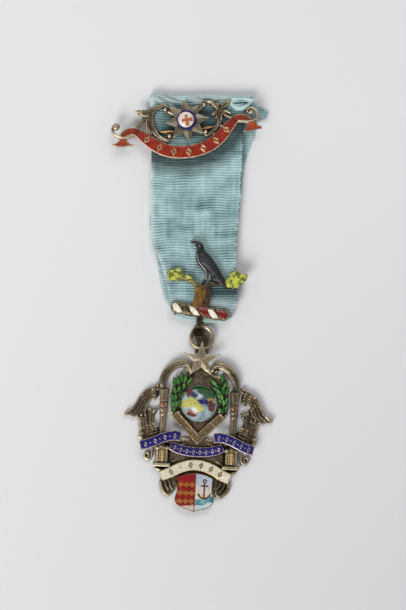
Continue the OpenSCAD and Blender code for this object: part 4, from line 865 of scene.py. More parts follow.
def angle_plate():
    """The try square: two broad arms that meet below, with raised rims, cut round the globe."""
    def at(x, y):
        across = (y - SQUARE_FOOT - np.abs(x)) * math.sqrt(0.5)
        run = (np.abs(x) + (y - SQUARE_FOOT)) * math.sqrt(0.5)
        depth = np.minimum(np.minimum(across, SQUARE_W - across), SQUARE_ARM - run)
        depth = np.minimum(depth, np.hypot(x, y - GLOBE_V) - GLOBE_R - 0.05)
        rim = np.clip(1 - np.abs(depth - 0.2) / 0.24, 0, 1)
        line = bell(run - SQUARE_LINE, 0.16) * (depth > 0)
        return depth, 0.72 + 0.36 * np.maximum(rim, 0.8 * line) + 0.12 * noise(x / 0.4, y / 0.4, 6)
    reach = SQUARE_ARM * math.sqrt(0.5)
    return around([[-reach, SQUARE_FOOT + reach], [0, SQUARE_FOOT], [reach, SQUARE_FOOT + reach]], 2.2, at)


add_relief("try_square_arms", ["try_square"], "gilt", on_plate, [angle_plate()], ROUGH_GILT)

# Sprigs: foot x, foot y, tip x, tip y of each leaf
SPRIG_LEFT = [[-7.87, 12.45, -8.47, 15.12], [-6.88, 12.8, -7.33, 15.58], [-5.93, 13.65, -5.96, 16.96],
    [-5.21, 13.29, -4.55, 16.13], [-4.39, 12.93, -2.62, 15.53], [-5.2, 11.29, -5.03, 13.7],
    [-7.84, 9.95, -8.2, 12.33], [-6.76, 10.41, -6.47, 12.62], [-8.02, 7.74, -9.0, 10.09],
    [-7.55, 7.56, -7.6, 9.96], [-6.06, 8.64, -4.48, 10.93], [-8.06, 5.73, -8.72, 7.7],
    [-7.45, 5.56, -7.12, 7.78], [-7.54, 4.36, -8.1, 5.83], [-6.63, 6.01, -6.14, 8.24]]
SPRIG_RIGHT = [[6.99, 14.13, 7.17, 17.04], [6.17, 12.49, 3.11, 15.43], [7.77, 12.57, 8.23, 15.2],
    [6.95, 10.92, 4.06, 12.68], [7.67, 10.56, 7.34, 13.15], [8.28, 10.39, 9.07, 12.64],
    [6.54, 9.3, 5.22, 11.44], [7.57, 8.75, 6.66, 10.71], [8.65, 7.21, 8.72, 9.62], [7.97, 6.77, 7.56, 8.95],
    [7.58, 4.75, 6.31, 6.08], [8.56, 5.2, 9.05, 7.23], [7.02, 7.72, 6.14, 9.28]]
SPRIG_STEM = [[7.6, 3.9, 0.26], [7.9, 6.5, 0.26], [7.6, 9.2, 0.26], [7.0, 11.6, 0.24], [6.2, 13.6, 0.2]]
LEAF_GREEN, LEAF_DARK, LEAF_YELLOW = srgb(20, 88, 34), srgb(14, 30, 16), srgb(112, 146, 58)
LEAF_W, LEAF_LONG = 0.7, 1.18


def frond(x0, y0, x1, y1):
    return blade(x0, y0, x0 + LEAF_LONG * (x1 - x0), y0 + LEAF_LONG * (y1 - y0), LEAF_W, 0.3, 0.55, 0.15)


def leaf_tint(x, y, depth, z):
    edge = np.clip(1 - depth / 0.14, 0, 1)
    core = np.clip((depth - 0.2) / 0.2, 0, 1) * np.clip(noise(x / 0.9, y / 0.9, 2) * 1.5 - 0.45, 0, 1)
    colour = blend(LEAF_GREEN, LEAF_YELLOW, core)
    return toned(blend(colour, LEAF_DARK, edge * 0.85), 0.2 * edge)


for name, rows, side in (("left", SPRIG_LEFT, flipped), ("right", SPRIG_RIGHT, np.array)):
    shapes = [tube(smooth(side(SPRIG_STEM)), 0.2)] + [frond(*row) for row in rows]
    add_relief(f"acacia_{name}", [f"sprig_{name}"], "green_enamel", on_plate, shapes, LEAF_ENAMEL, leaf_tint,
               step=FINE)

# The pendant's scrolls: middle line as shares of the half sizes, and share of the width
SIDE_BANNER = [[0.225, -0.125, 1], [0.31, -0.118, 1], [0.4, -0.13, 1], [0.495, -0.16, 1],
    [0.59, -0.2, 1], [0.69, -0.235, 1], [0.77, -0.25, 1]]
CENTRE_REACH = 8.35
CENTRE_BANNER = [[-1, -0.235, 0.9], [-0.781, -0.268, 1], [-0.438, -0.295, 1], [0, -0.305, 1],
    [0.438, -0.295, 1], [0.781, -0.268, 1], [1, -0.235, 0.9]]
NUMBER_BANNER = [[-0.47, -0.605, 0.95], [-0.36, -0.565, 1], [-0.23, -0.505, 1], [-0.11, -0.468, 1],
    [0, -0.456, 1], [0.11, -0.468, 1], [0.23, -0.505, 1], [0.36, -0.565, 1], [0.47, -0.605, 0.95]]
BANNER_W, NUMBER_W, BANNER_T = 3.1, 3.3, 1.1
ENAMEL_T, MARK_MARGIN = 0.3, 1.0
BLUE, BLUE_DEEP = srgb(31, 18, 114), srgb(13, 6, 66)


def band_shape(path, top, rim_w, rim_h, sunk=0.3):
    """A scroll's metal tray: butt ends, a bright rim, broader below, and a sunk field."""
    def at(x, y):
        across, run, length, width = along(path, x, y)
        depth = np.minimum(width / 2 - np.abs(across), butt(path, x, y))
        reach = rim_w * np.where(across < 0, 1.35, 0.9)
        rim = np.clip(1 - np.abs(depth - reach / 2) / (reach / 2), 0, 1)
        return depth, np.where(depth > reach, top - sunk, top - 0.1 + rim_h * rim)
    return around(path, path[:, 2].max() / 2 + 0.3, at)


def butt(path, x, y):
    """Distance inside a path's two square ends."""
    found = []
    for a, b in ((path[0], path[1]), (path[-1], path[-2])):
        line = (b - a)[:2] / np.linalg.norm((b - a)[:2])
        found.append((x - a[0]) * line[0] + (y - a[1]) * line[1])
    return np.minimum(*found)


def enamel_shape(path, inset, bow=0.1):
    """A scroll's enamel, bowed along its middle."""
    def at(x, y):
        across, run, length, width = along(path, x, y)
        depth = np.minimum(width / 2 - inset - np.abs(across), butt(path, x, y) - inset)
        return depth, ENAMEL_T + bow * (1 - (2 * across / width) ** 2)
    return around(path, path[:, 2].max() / 2, at)


def marks(path, top, kinds, size=1.0):
    """Plain open lozenges and pellets spaced along a scroll: l, p or a space for each place."""
    places = np.array(path)
    steps = np.concatenate([[0], np.cumsum(np.hypot(*np.diff(places[:, :2], axis=0).T))])

    def at(run):
        return [np.interp(run, steps, places[:, n]) for n in (0, 1)]

    shapes = []
    for k, kind in enumerate(kinds):
        run = MARK_MARGIN + (steps[-1] - 2 * MARK_MARGIN) * (k + 0.5) / len(kinds)
        (x, y), ahead = at(run), at(run + 0.2)
        if kind == "l":
            shapes.append(lozenge(x, y, lean_of((ahead[0] - x, ahead[1] - y)), 0.62 * size, 0.95 * size, top,
                                  0.34 * size))
        elif kind == "p":
            shapes.append(disc(x, y, 0.22 * size, top + 0.1, 0.2, 0.1))
    return shapes


def lozenge(x0, y0, turn, half_w, half_h, top, stroke):
    def at(x, y):
        u, v = local(x, y, x0, y0, turn)
        depth = (1 - np.abs(u) / half_w - np.abs(v) / half_h) * half_w * half_h / math.hypot(half_w, half_h)
        depth = stroke / 2 - np.abs(depth - stroke / 2)
        return depth, top + 0.12 * np.clip(depth / 0.12, 0, 1)
    return around([[x0, y0]], max(half_w, half_h) + 0.2, at)


def scroll_tint(colour, deep):
    def tint(x, y, depth, z):
        return toned(blend(deep, colour, 0.35 + 0.65 * noise(x / 1.3, y / 1.3, 8)))
    return tint


def sized(rows, reach, width):
    """A table of shares as millimetres."""
    return np.array(rows, float) * [reach, PENDANT_HALF[1], width]


side_rows = sized(SIDE_BANNER, PENDANT_HALF[0], BANNER_W)
for name, rows, kinds in (("banner_left", flipped(side_rows)[::-1], "lplplpl"),
                          ("banner_right", side_rows, "lplplplpl"),
                          ("banner_centre", sized(CENTRE_BANNER, CENTRE_REACH, BANNER_W), "lplplplplplplpl")):
    path, at = smooth(rows), pendant.shifted(0, 0, low_z(name))
    add_relief(f"{name}_tray", [name], "silver", at, [band_shape(path, BANNER_T, 0.32, 0.18)], RIM_SILVER,
               step=FINE)
    add_relief(f"{name}_blue", [f"{name}_enamel"], "blue_enamel", at.shifted(0, 0, BANNER_T - 0.35),
               [enamel_shape(path, 0.34)], PAINTED, scroll_tint(BLUE, BLUE_DEEP))
    add_marks(f"{name}_marks", "silver", at.shifted(0, 0, BANNER_T), marks(path, 0.16, kinds), MARK_SILVER)

path = smooth(sized(NUMBER_BANNER, PENDANT_HALF[0], NUMBER_W))
at = pendant.shifted(0, 0, low_z("number_scroll"))
add_relief("number_tray", ["number_scroll"], "silver", at, [band_shape(path, BANNER_T, 0.2, 0.05)], GILT)
add_relief("number_white", ["number_enamel"], "white_enamel", at.shifted(0, 0, BANNER_T - 0.3),
           [enamel_shape(path, 0.16)], PAINTED, scroll_tint(srgb(222, 214, 194), srgb(196, 184, 156)),
           step=0.14)
add_marks("number_marks", "gilt", at.shifted(0, 0, BANNER_T), marks(path, 0.13, " l p l l l l ", 1.25),
          ROUGH_GILT)

# Shield
SHIELD = [[0, -14.8], [3.2, -15.3], [5.7, -16.3], [5.6, -18.4], [5.6, -21.0], [6.2, -22.9], [6.2, -23.9],
    [5.4, -25.2], [3.4, -26.2], [0, -27.2]]
SHIELD_T, DIVIDE, SHORE = 1.4, 0.1, -23.6
shield_outline = mirrored(SHIELD)
GOLD = (*srgb(176, 112, 48), 0.4)
BAR_ROWS = (-18.6, -21.3, -23.9)


def shield_surface(x, y):
    depth = polygon_depth(shield_outline, x, y)
    rim = np.clip(1 - np.abs(depth - 0.16) / 0.2, 0, 1)
    height = SHIELD_T - 0.1 + 0.12 * np.clip(depth / 1.5, 0, 1) + 0.1 * rim + 0.1 * bell(x - DIVIDE, 0.14)
    return depth, height


def shield_tint(x, y, depth, z):
    """Red with bars and lozenges on the left, an anchor over a sea on the right: a layout of its own."""
    left, cloud = x < DIVIDE, noise(x / 1.4, y / 1.4, 18)
    red = blend(srgb(150, 12, 8), srgb(112, 8, 8), cloud)
    pale = blend(srgb(172, 180, 192), srgb(208, 194, 170), np.clip((-17.5 - y) / 4, 0, 1))
    sea = blend(srgb(20, 92, 110), srgb(132, 176, 178), cloud)
    pink = blend(srgb(206, 132, 110), srgb(190, 182, 166), np.clip((-24.6 - y) / 1.6, 0, 1))
    shore = SHORE + 0.28 * x + 0.25 * np.sin(x * 1.7)
    bars = np.zeros(len(x), bool)
    for row in BAR_ROWS:
        gap = np.abs(y - row)
        bars |= (gap < 0.34) | (np.abs((x + 5.4) % 1.8 - 0.9) + 0.8 * gap < 0.78)
    # anchor
    ax, ay = x - 3.1, y + 20.2
    anchor = (np.abs(ax) < 0.26) & (np.abs(ay) < 2.5)
    anchor |= (np.abs(ay - 1.4) < 0.26) & (np.abs(ax) < 1.3)
    anchor |= np.abs(np.hypot(ax, ay - 2.9) - 0.5) < 0.2
    anchor |= (np.abs(np.hypot(ax, ay + 0.7) - 1.9) < 0.3) & (ay < -1.0)
    colour = toned(pale)
    for mask, paint in ((left, toned(red)), (~left & (y < shore), toned(sea)),
                        (~left & (y < shore - 1.9), (*srgb(186, 200, 198), 0)),
                        (left & (y < -24.9 + 0.15 * x), toned(pink)), (left & bars & (y > -25), GOLD),
                        (~left & anchor, (*srgb(78, 50, 36), 0.1)), (depth < 0.2, (*srgb(90, 72, 52), 1)),
                        (np.abs(x - DIVIDE) < 0.16, (*srgb(110, 60, 44), 0.5))):
        colour = np.where(mask[:, None], paint, colour)
    return colour


add_relief("shield_face", ["shield", "shield_field_red", "shield_field_white", "shield_sea"], "gilt",
           pendant.shifted(0, 0, low_z("shield")), [around(shield_outline, 0.3, shield_surface)], PAINTED,
           shield_tint, step=FINE)


def panel_pattern(x, y, depth):
    return 0.2 * bell(np.abs(x) - 0.55, 0.14) + 0.12 * bell((y / 0.8) % 1 - 0.5, 0.2)


for name, side in (("left", -1), ("right", 1)):
    node = f"plinth_panel_{name}"
    panel = slab(0, 0, PANEL_HALF_W - 0.05, PANEL_HALF_H - 0.05, 0.3, 0.25, 0.15, detail=panel_pattern)
    add_relief(f"panel_{name}_face", [node], "gilt", pendant.shifted(side * PLINTH_X, PANEL_Y, low_z(node)),
               [panel], PANEL_GILT, step=0.09, worn_reach=0.3)

# Brooch
SCROLL_HALF_ROWS = [[-20.4, -3.2, 2.2], [-19.2, -2.2, 2.25], [-17.5, -1.7, 2.3], [-15.8, -2.2, 2.65],
    [-13.9, -3.8, 3.2], [-11.9, -5.8, 3.7], [-9.6, -7.6, 4.0], [-7.0, -9.1, 4.08], [-3.55, -10.1, 4.0]]
SCROLL_ROWS = SCROLL_HALF_ROWS + [[0, -10.4, 4.0]] + [[-x, y, w] for x, y, w in SCROLL_HALF_ROWS[::-1]]
CURL_LEFT_ROWS = [[-17.0, -3.05, 0.5], [-18.8, -3.52, 0.5], [-20.4, -3.4, 0.48], [-21.62, -2.82, 0.46],
    [-22.78, -1.86, 0.45], [-23.25, -0.83, 0.43], [-22.99, 0.26, 0.42], [-21.91, 1.09, 0.4],
    [-21.15, 0.75, 0.38], [-21.2, 0.0, 0.36]]
CURL_RIGHT_ROWS = [[17.0, -2.74, 0.5], [18.4, -3.0, 0.5], [19.96, -3.3, 0.48], [21.92, -3.07, 0.46],
    [22.88, -1.9, 0.45], [22.93, -0.3, 0.43], [21.87, 0.81, 0.42], [20.66, 0.81, 0.4], [20.16, 0.07, 0.38],
    [20.75, -0.9, 0.36]]
TAIL_LEFT = [[-21.1, -3.3], [-19.4, -3.4], [-19.1, -4.6], [-18.3, -5.5], [-17.0, -6.1], [-17.4, -6.5],
    [-19.2, -6.25], [-20.6, -6.35], [-22.4, -6.1], [-23.9, -5.6], [-23.9, -5.1], [-22.4, -4.8],
    [-21.4, -4.2]]
TAIL_RIGHT = [[19.7, -3.4], [22.3, -3.4], [22.7, -4.7], [24.05, -5.2], [24.0, -6.0], [21.85, -6.15],
    [19.1, -6.4], [18.1, -6.3], [19.3, -4.9]]
C_LEFT = [[-5.75, 3.72, 0.5], [-4.95, 4.26, 0.5], [-6.06, 5.05, 0.6], [-7.54, 4.85, 0.72],
    [-9.06, 4.32, 0.8], [-10.01, 3.23, 0.85], [-10.55, 1.53, 0.85], [-10.49, -0.41, 0.8],
    [-9.95, -2.42, 0.8], [-8.89, -4.18, 0.75], [-7.44, -5.5, 0.66], [-6.05, -5.92, 0.6], [-5.24, -5.3, 0.5],
    [-5.48, -4.7, 0.5]]
C_RIGHT = [[6.68, 3.7, 0.5], [6.5, 4.6, 0.5], [7.77, 4.69, 0.6], [9.15, 4.1, 0.72], [10.29, 2.98, 0.8],
    [11.08, 1.59, 0.85], [11.35, -0.06, 0.8], [10.96, -1.79, 0.8], [10.13, -3.13, 0.75], [9.02, -4.27, 0.7],
    [7.76, -5.24, 0.64], [6.41, -5.7, 0.58], [5.6, -5.2, 0.5], [6.03, -4.85, 0.5]]
BROOCH_BALLS = [[-5.75, 3.72, 0.7], [-5.48, -4.7, 0.72], [6.68, 3.7, 0.68], [6.03, -4.85, 0.74],
    [-22.05, 0.05, 0.95], [21.2, -0.35, 0.75]]
LEAF_POINTED = [[-15.47, 4.75], [-11.97, 4.5], [-10.15, 4.8], [-9.0, 4.3], [-9.8, 2.6], [-11.15, 1.7],
    [-12.73, 2.0], [-13.78, 2.7], [-14.65, 3.5]]
STRANDS = [
    [[-12.04, 1.24, 0.34], [-12.28, -1.15, 0.36], [-11.59, -2.9, 0.3]],
    [[-11.43, 1.0, 0.3], [-11.56, -1.24, 0.34], [-10.9, -3.0, 0.28]],
    [[-10.3, 1.6, 0.3], [-10.58, -2.0, 0.38], [-9.7, -4.2, 0.3]],
    [[-11.9, 3.1, 0.3], [-11.3, 2.3, 0.34], [-10.5, 3.2, 0.3]],
    [[12.0, 1.4, 0.3], [13.4, 0.9, 0.34], [14.6, 0.0, 0.26]],
    [[12.0, 1.0, 0.28], [13.1, 0.2, 0.32], [13.8, -1.0, 0.24]],
    [[10.7, 0.4, 0.3], [10.45, -1.6, 0.34], [10.36, -3.1, 0.42]],
    [[8.0, 4.6, 0.3], [9.6, 3.6, 0.36], [11.0, 2.1, 0.3]]]
BLADES = [[-3.6, -3.5, -8.9, -3.0, 0.62], [4.6, -3.7, 9.2, -3.5, 0.55]]
PALM = [[11.3, 1.6, 15.3, 4.5, 1.0], [11.4, 1.8, 8.4, 0.0, 0.72], [11.4, 1.7, 9.6, -1.5, 0.62],
    [11.4, 1.8, 11.7, -1.9, 0.78], [11.5, 1.8, 13.4, -1.2, 0.6], [11.2, 1.9, 8.9, 3.9, 0.6],
    [11.3, 2.0, 10.4, 4.2, 0.55], [11.2, 1.5, 9.8, 0.3, 0.5]]
STRUTS = [
    [[-12.5, 1.9, 0.65], [-15.4, -1.0, 0.65]],
    [[12.6, 0.2, 0.55], [15.0, -1.7, 0.55]],
    [[-8.4, -5.1, 0.6], [-8.7, -6.6, 0.6]],
    [[8.4, -4.9, 0.6], [8.7, -6.4, 0.6]],
    [[-7.8, -4.8, 0.5], [-11.4, -5.4, 0.5]],
    [[-10.6, -2.6, 0.5], [-12.6, -4.4, 0.6]],
    [[10.2, -2.8, 0.5], [12.4, -4.2, 0.6]]]
SPOKE_W = 0.55


def brooch_shapes():
    def grooved(a, run):
        return -0.25 * bell(a + 0.1, 0.2)

    shapes = [plate(LEAF_POINTED, BROOCH_T, 0.9, 0.5, lambda x, y, d: 0.12 * noise(x / 0.5, y / 0.5, 40))]
    shapes += [plate(tail, BROOCH_T - 0.15) for tail in (TAIL_LEFT, TAIL_RIGHT)]
    shapes += [tube(smooth(rows), BROOCH_T - 0.3) for rows in (CURL_LEFT_ROWS, CURL_RIGHT_ROWS)]
    shapes += [tube(smooth(rows), BROOCH_T - 0.5, grooved, 0.9) for rows in (C_LEFT, C_RIGHT)]
    shapes += [tube(smooth(rows), BROOCH_T - 0.15) for rows in STRANDS]
    shapes += [blade(*row, BROOCH_T - 0.25, 0.7, 0.3) for row in PALM]
    shapes += [blade(*row, BROOCH_T - 0.4, 0.6, 0.2) for row in BLADES]
    shapes += [ball(x, y, BROOCH_T - 0.05, r) for x, y, r in BROOCH_BALLS]
    shapes.append(disc(*BROOCH_STAR, 4.1, BROOCH_T - 0.05))
    spokes = [[[*BROOCH_STAR, SPOKE_W], [x, y, SPOKE_W]] for x, y, r in BROOCH_BALLS[:4]]
    return shapes + [ridge(path, BROOCH_T - 0.45, 0.3) for path in spokes + STRUTS]


def brooch_tone(x, y, depth, z):
    """The two blades beside the star are browner."""
    brown = (np.abs(y + 3.4) < 0.8) & (np.abs(np.abs(x) - 6.4) < 2.4) & (z < BROOCH_T + 0.2)
    return toned(np.where(brown[:, None], (1.0, 0.7, 0.45), (0.92, 0.92, 0.92)), 1)


LUG_X, LUG_Y = 19.92, -2.79
lugs = [block([x - 0.5, LUG_Y - 0.9, -2.2], [x + 0.5, LUG_Y + 0.9, 0.2]) for x in (LUG_X, -LUG_X)]
add_relief("brooch_metalwork", ["brooch_frame"], "silver", brooch, brooch_shapes(), SILVER, brooch_tone,
           extra=lugs)
scroll_path = smooth(SCROLL_ROWS)
add_relief("scroll_tray", [], "silver", brooch, [band_shape(scroll_path, BROOCH_T, 0.32, 0.25, 0.35)],
           RIM_GILT)

STAR_TIPS = [0.93, 0.86, 1.03, 1.0, 0.99, 1.05, 0.97, 1.04]
BROOCH_STAR_R = 6.9
blue_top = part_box("roundel_ring")[1].z / MM - front_z
add_relief("roundel_white", ["roundel_dome"], "white_enamel",
           brooch.shifted(BROOCH_STAR[0] - 0.24, BROOCH_STAR[1] + 0.14, blue_top + 0.01), [dome(2.46, 0.5)],
           PAINTED, scroll_tint(srgb(228, 216, 206), srgb(208, 188, 174)), step=FINEST)
add_relief("brooch_star_facets", ["brooch_star"], "star_silver",
           brooch.shifted(*BROOCH_STAR, BROOCH_T + SEAT),
           [star_shape(8, BROOCH_STAR_R, 0.60 * BROOCH_STAR_R, 0.45, 0.85, STAR_TIPS)], DARK_STAR,
           worn_reach=0.35)

FOLD_AT = 5.4


def red_scroll_tint(x, y, depth, z):
    """Deep red, browner near the folded ends, with painted shade across each fold."""
    across, run, length, width = along(scroll_path, x, y)
    colour = blend(srgb(116, 22, 4), srgb(168, 44, 10), noise(x / 1.6, y / 1.2, 12))
    ends = np.clip(1 - np.minimum(run, length - run) / 9.0, 0, 1)
    colour = blend(colour, srgb(118, 52, 22), ends * 0.8)
    # painted shade across the scroll at each fold
    fold = bell(run - FOLD_AT, 0.6) + bell(length - run - FOLD_AT, 0.6)
    return toned(blend(colour, srgb(70, 24, 12), np.clip(fold, 0, 1) * 0.7))


add_relief("scroll_red", ["scroll_enamel"], "red_enamel", brooch.shifted(0, 0, BROOCH_T - 0.35),
           [enamel_shape(scroll_path, 0.3, 0.12)], PAINTED, red_scroll_tint)
add_marks("scroll_marks", "gilt", brooch.shifted(0, 0, BROOCH_T),
          marks(scroll_path, 0.17, "   l l l l l l l   ", 1.6), MARK_GILT)


def tail_tint(x, y, depth, z):
    colour = blend(srgb(176, 74, 18), srgb(112, 40, 28), np.clip((-y - 4.6) / 1.4, 0, 1))
    return toned(blend(colour, srgb(150, 60, 20), noise(x, y, 41)))


for name, points in (("left", TAIL_LEFT), ("right", TAIL_RIGHT)):
    add_relief(f"tail_{name}_orange", [f"tail_enamel_{name}"], "orange_enamel",
               brooch.shifted(0, 0, BROOCH_T - 0.3), [plate(points, 0.32, 0.4, 0.12, inset=0.2)], PAINTED,
               tail_tint, step=FINE)

# Crest
BIRD = [[-5.57, 21.84], [-4.4, 22.02], [-3.18, 22.11], [-2.18, 22.07], [-1.3, 21.6], [-0.87, 20.94],
    [-0.35, 19.58], [1.62, 17.75], [3.38, 15.9], [4.99, 13.63], [6.61, 11.16], [8.07, 8.27], [6.9, 7.87],
    [4.95, 9.41], [3.09, 10.05], [2.5, 11.1], [2.2, 10.2], [1.95, 11.3], [1.3, 11.3], [0.95, 10.06],
    [0.2, 8.0], [-0.6, 8.2], [0.55, 10.44], [0.62, 11.85], [-0.18, 12.97], [-1.49, 14.26], [-2.53, 15.78],
    [-2.84, 17.76], [-2.64, 19.38], [-3.26, 20.73], [-4.12, 21.36]]
BIRD_WING = [[-1.88, 18.65], [-0.23, 18.19], [1.52, 16.54], [2.89, 14.65], [4.06, 12.74], [5.6, 10.4],
    [2.83, 12.2], [0.75, 13.86], [-0.96, 15.11], [-1.9, 16.64]]
SILVER_LINES = [
    [[-2.3, 17.9, 0.14], [-2.2, 16.6, 0.16], [-1.7, 15.4, 0.18], [-0.7, 14.3, 0.18], [0.4, 13.2, 0.18],
     [1.0, 11.9, 0.18], [0.75, 10.4, 0.22]],
    [[2.0, 11.8, 0.2], [2.15, 10.6, 0.18]]]
BIRD_EYE = [-1.95, 20.6]
STUMP = [[-2.9, 0.6], [-2.7, 2.4], [-2.34, 3.6], [-2.2, 6.2], [-2.35, 7.4], [-2.9, 8.6], [-2.2, 8.9],
    [-0.4, 8.2], [1.2, 8.6], [2.4, 9.2], [2.3, 7.8], [2.7, 5.4], [2.84, 3.8], [2.75, 2.0], [2.9, 0.8]]
BRANCH_RIGHT = [[1.6, 8.7, 0.5], [3.4, 8.9, 0.42], [5.2, 8.8, 0.36]]
BRANCH_LEFT = [[-1.9, 8.3, 0.5], [-3.2, 9.1, 0.42], [-4.9, 9.5, 0.36], [-6.5, 9.9, 0.34], [-8.4, 9.7, 0.3]]
LEAVES_LEFT = [
    [[-11.3, 10.0], [-11.2, 11.2], [-10.35, 12.4], [-9.4, 12.6], [-8.61, 13.2], [-7.6, 12.6], [-6.7, 12.0],
     [-5.7, 10.6], [-6.9, 9.7], [-7.87, 9.1], [-9.2, 9.5], [-10.27, 8.9]],
    [[-6.3, 10.4], [-5.2, 11.0], [-4.0, 10.5], [-2.7, 9.0], [-4.1, 8.9], [-5.4, 9.4]]]
LEAVES_RIGHT = [
    [[7.3, 10.0], [7.8, 11.2], [8.3, 12.6], [9.2, 12.9], [10.0, 13.6], [11.0, 13.2], [11.7, 12.6],
     [12.8, 12.9], [13.75, 12.6], [13.6, 11.3], [12.7, 10.4], [11.98, 9.4], [11.0, 8.6], [10.0, 8.2],
     [8.9, 8.5], [8.0, 8.5]]]
WHITE_TWISTS = [
    [[-8.9, 0.9], [-8.3, 1.35], [-7.73, 1.2], [-6.54, 0.12], [-5.75, -1.1], [-6.9, -1.46], [-8.36, -0.57]],
    [[-3.54, 1.1], [-2.17, 0.75], [-0.79, -0.3], [-0.08, -1.3], [-1.46, -1.3], [-3.06, -0.1]],
    [[2.34, 1.0], [3.89, 0.9], [5.29, -0.35], [5.81, -1.25], [4.46, -1.5], [3.05, -0.3]]]
RED_TWISTS = [
    [[-0.9, 1.1], [1.9, 1.15], [2.7, -0.07], [3.6, -1.2], [0.7, -1.25], [0.2, -0.4]],
    [[4.9, 0.98], [7.6, 1.25], [8.75, 0.32], [8.4, -0.9], [6.5, -1.2], [6.2, -0.4]]]
HIDDEN_BRANCH = [[3, 9.0, 0.6], [8.4, 9.6, 0.6]]
TONGUE = [[-1.0, -4.4], [1.0, -4.4], [2.2, -7.2], [1.4, -8.6], [-1.4, -8.6], [-2.2, -7.2]]
RISER = [[-0.85, -5.4], [0.85, -5.4], [0.95, -1], [-0.95, -1]]
CREST_SEAT = CREST_T + SEAT


def band_height(u, v):
    """The twisted wreath's height and depth in the wreath's own frame."""
    gap = np.hypot(np.clip(np.abs(u) - (WREATH_L - WREATH_W) / 2, 0, None), v)
    round_top = np.sqrt(np.clip(1 - (gap / (WREATH_W / 2)) ** 2, 0, 1))
    return WREATH_W / 2 + 0.1 - gap, 0.75 + 0.95 * round_top


def wreath_band(x, y):
    u, v = local(x, y, 0, 0, WREATH_TURN)
    depth, height = band_height(u, v)
    part = (u + v * 0.8 + 0.6) / (WREATH_L / TWISTS)
    twist = np.abs(part % 1 - 0.5) * 2
    return depth, height - 0.25 * bell(twist - 1, 0.12) + 0.16 * (noise(u / 0.5, v / 0.5, 42) - 0.5)


crest_shapes = [plate(rows, CREST_T, 0.3, 0.1, inset=0.12)
                for rows in (STUMP, BIRD, *LEAVES_LEFT, *LEAVES_RIGHT)]
crest_shapes += [ridge(path, CREST_T - 0.3, 0.2) for path in (BRANCH_LEFT, HIDDEN_BRANCH)]
crest_shapes += [around([[-WREATH_L / 2, -2.4], [WREATH_L / 2, 2.4]], 0.6, wreath_band),
                 plate(TONGUE, -0.05, 0.5, 0.3), plate(RISER, CREST_T - 0.2, 0.6, 0.4)]


def crest_tone(x, y, depth, z):
    """The tongue is dark, the wreath dull, the rims behind bird and leaves warmer."""
    tongue = np.where((y < -2.2)[:, None], (0.42, 0.38, 0.34), 1.0)
    return toned(tongue * np.where((y < 3)[:, None], (0.52, 0.49, 0.45), (0.8, 0.72, 0.6)), 1)


crest_eye = crest.own([ring_x, ring_y + ring_r, 0])
add_relief("crest_metalwork", ["crest_frame"], "silver", crest, crest_shapes, SILVER, crest_tone, step=0.15,
           floor=-0.9, extra=[loop(crest_eye[0], crest_eye[1], ring_z - front_z)])
for name, twists, colour, deep in (("white", WHITE_TWISTS, srgb(238, 232, 216), srgb(220, 210, 190)),
                                   ("red", RED_TWISTS, srgb(124, 14, 2), srgb(92, 8, 4))):
    shapes = [plate(points, 0.16, 0.3, 0.14, lambda x, y, d: band_height(x, y)[1], inset=-0.12)
              for points in twists]
    nodes = [f"wreath_{name}_{k + 1}" for k in range(len(twists))]
    add_relief(f"wreath_{name}s", nodes, f"{name}_enamel", wreath, shapes, PAINTED, scroll_tint(colour, deep),
               step=0.1, floor=0.8)


def bird_tint(x, y, depth, z):
    feather = noise(x / 0.45, y / 1.2, 14)
    colour = blend(srgb(8, 10, 11), srgb(22, 25, 27), np.clip(feather * 1.6 - 0.7, 0, 1))
    metal = np.clip((0.2 - np.hypot(x - BIRD_EYE[0], y - BIRD_EYE[1])) / 0.06, 0, 1)
    for path in SILVER_LINES:
        across, run, length, half = along(path, x, y)
        metal = np.maximum(metal, np.clip((half + 0.03 - np.abs(across)) / 0.06, 0, 1))
    return toned(blend(colour, srgb(186, 182, 168), metal), 0.8 * metal)


def wing_tint(x, y, depth, z):
    slate = blend(srgb(22, 25, 31), srgb(38, 42, 48), noise(x / 1.1, y / 1.1, 43))
    return toned(blend(slate, srgb(18, 20, 22), np.clip((14.6 - y) / 2.4, 0, 1)))


def feathers(x, y, depth):
    barbs = bell(np.abs(((x + 0.55 * y) / 0.8) % 1 - 0.5), 0.1) * (y < 14.5)
    return 0.3 * np.clip(depth / 1.2, 0, 1) - 0.1 * barbs + 0.06 * noise(x / 0.45, y / 1.3, 14)


on_crest = crest.shifted(0, 0, CREST_SEAT)
bird_shapes = [plate(BIRD, 0.5, 0.4, 0.2, feathers), ball(*BIRD_EYE, 0.75, 0.24)]
bird_shapes += [ridge(path, 0.75, 0.22) for path in SILVER_LINES]
add_relief("bird_body", ["bird"], "black_enamel", on_crest, bird_shapes, BLACK_ENAMEL, bird_tint, step=FINE)
add_relief("bird_wing_feathers", ["bird_wing"], "black_enamel", crest.shifted(0, 0, CREST_SEAT + 0.7),
           [plate(BIRD_WING, 0.35, 0.4, 0.25, feathers)], BLACK_ENAMEL, wing_tint, step=FINE)


def stump_tint(x, y, depth, z):
    knot, fine = noise(x / 0.9, y / 1.5, 15), noise(x / 0.4, y / 0.7, 16)
    colour = blend(srgb(98, 72, 0), srgb(146, 90, 4), np.clip(fine * 2 - 0.8, 0, 1))
    colour = blend(colour, srgb(52, 28, 4), np.clip((x - 0.1) / 0.8 + (knot - 0.5) * 2.4, 0, 1))
    colour = blend(colour, srgb(84, 22, 10), np.clip((2.6 - y) / 1.2, 0, 1) * (x > -0.6))
    rim = np.clip(1 - depth / 0.16, 0, 1)
    return toned(blend(colour, srgb(150, 122, 60), rim * 0.7), 0.3 * rim)


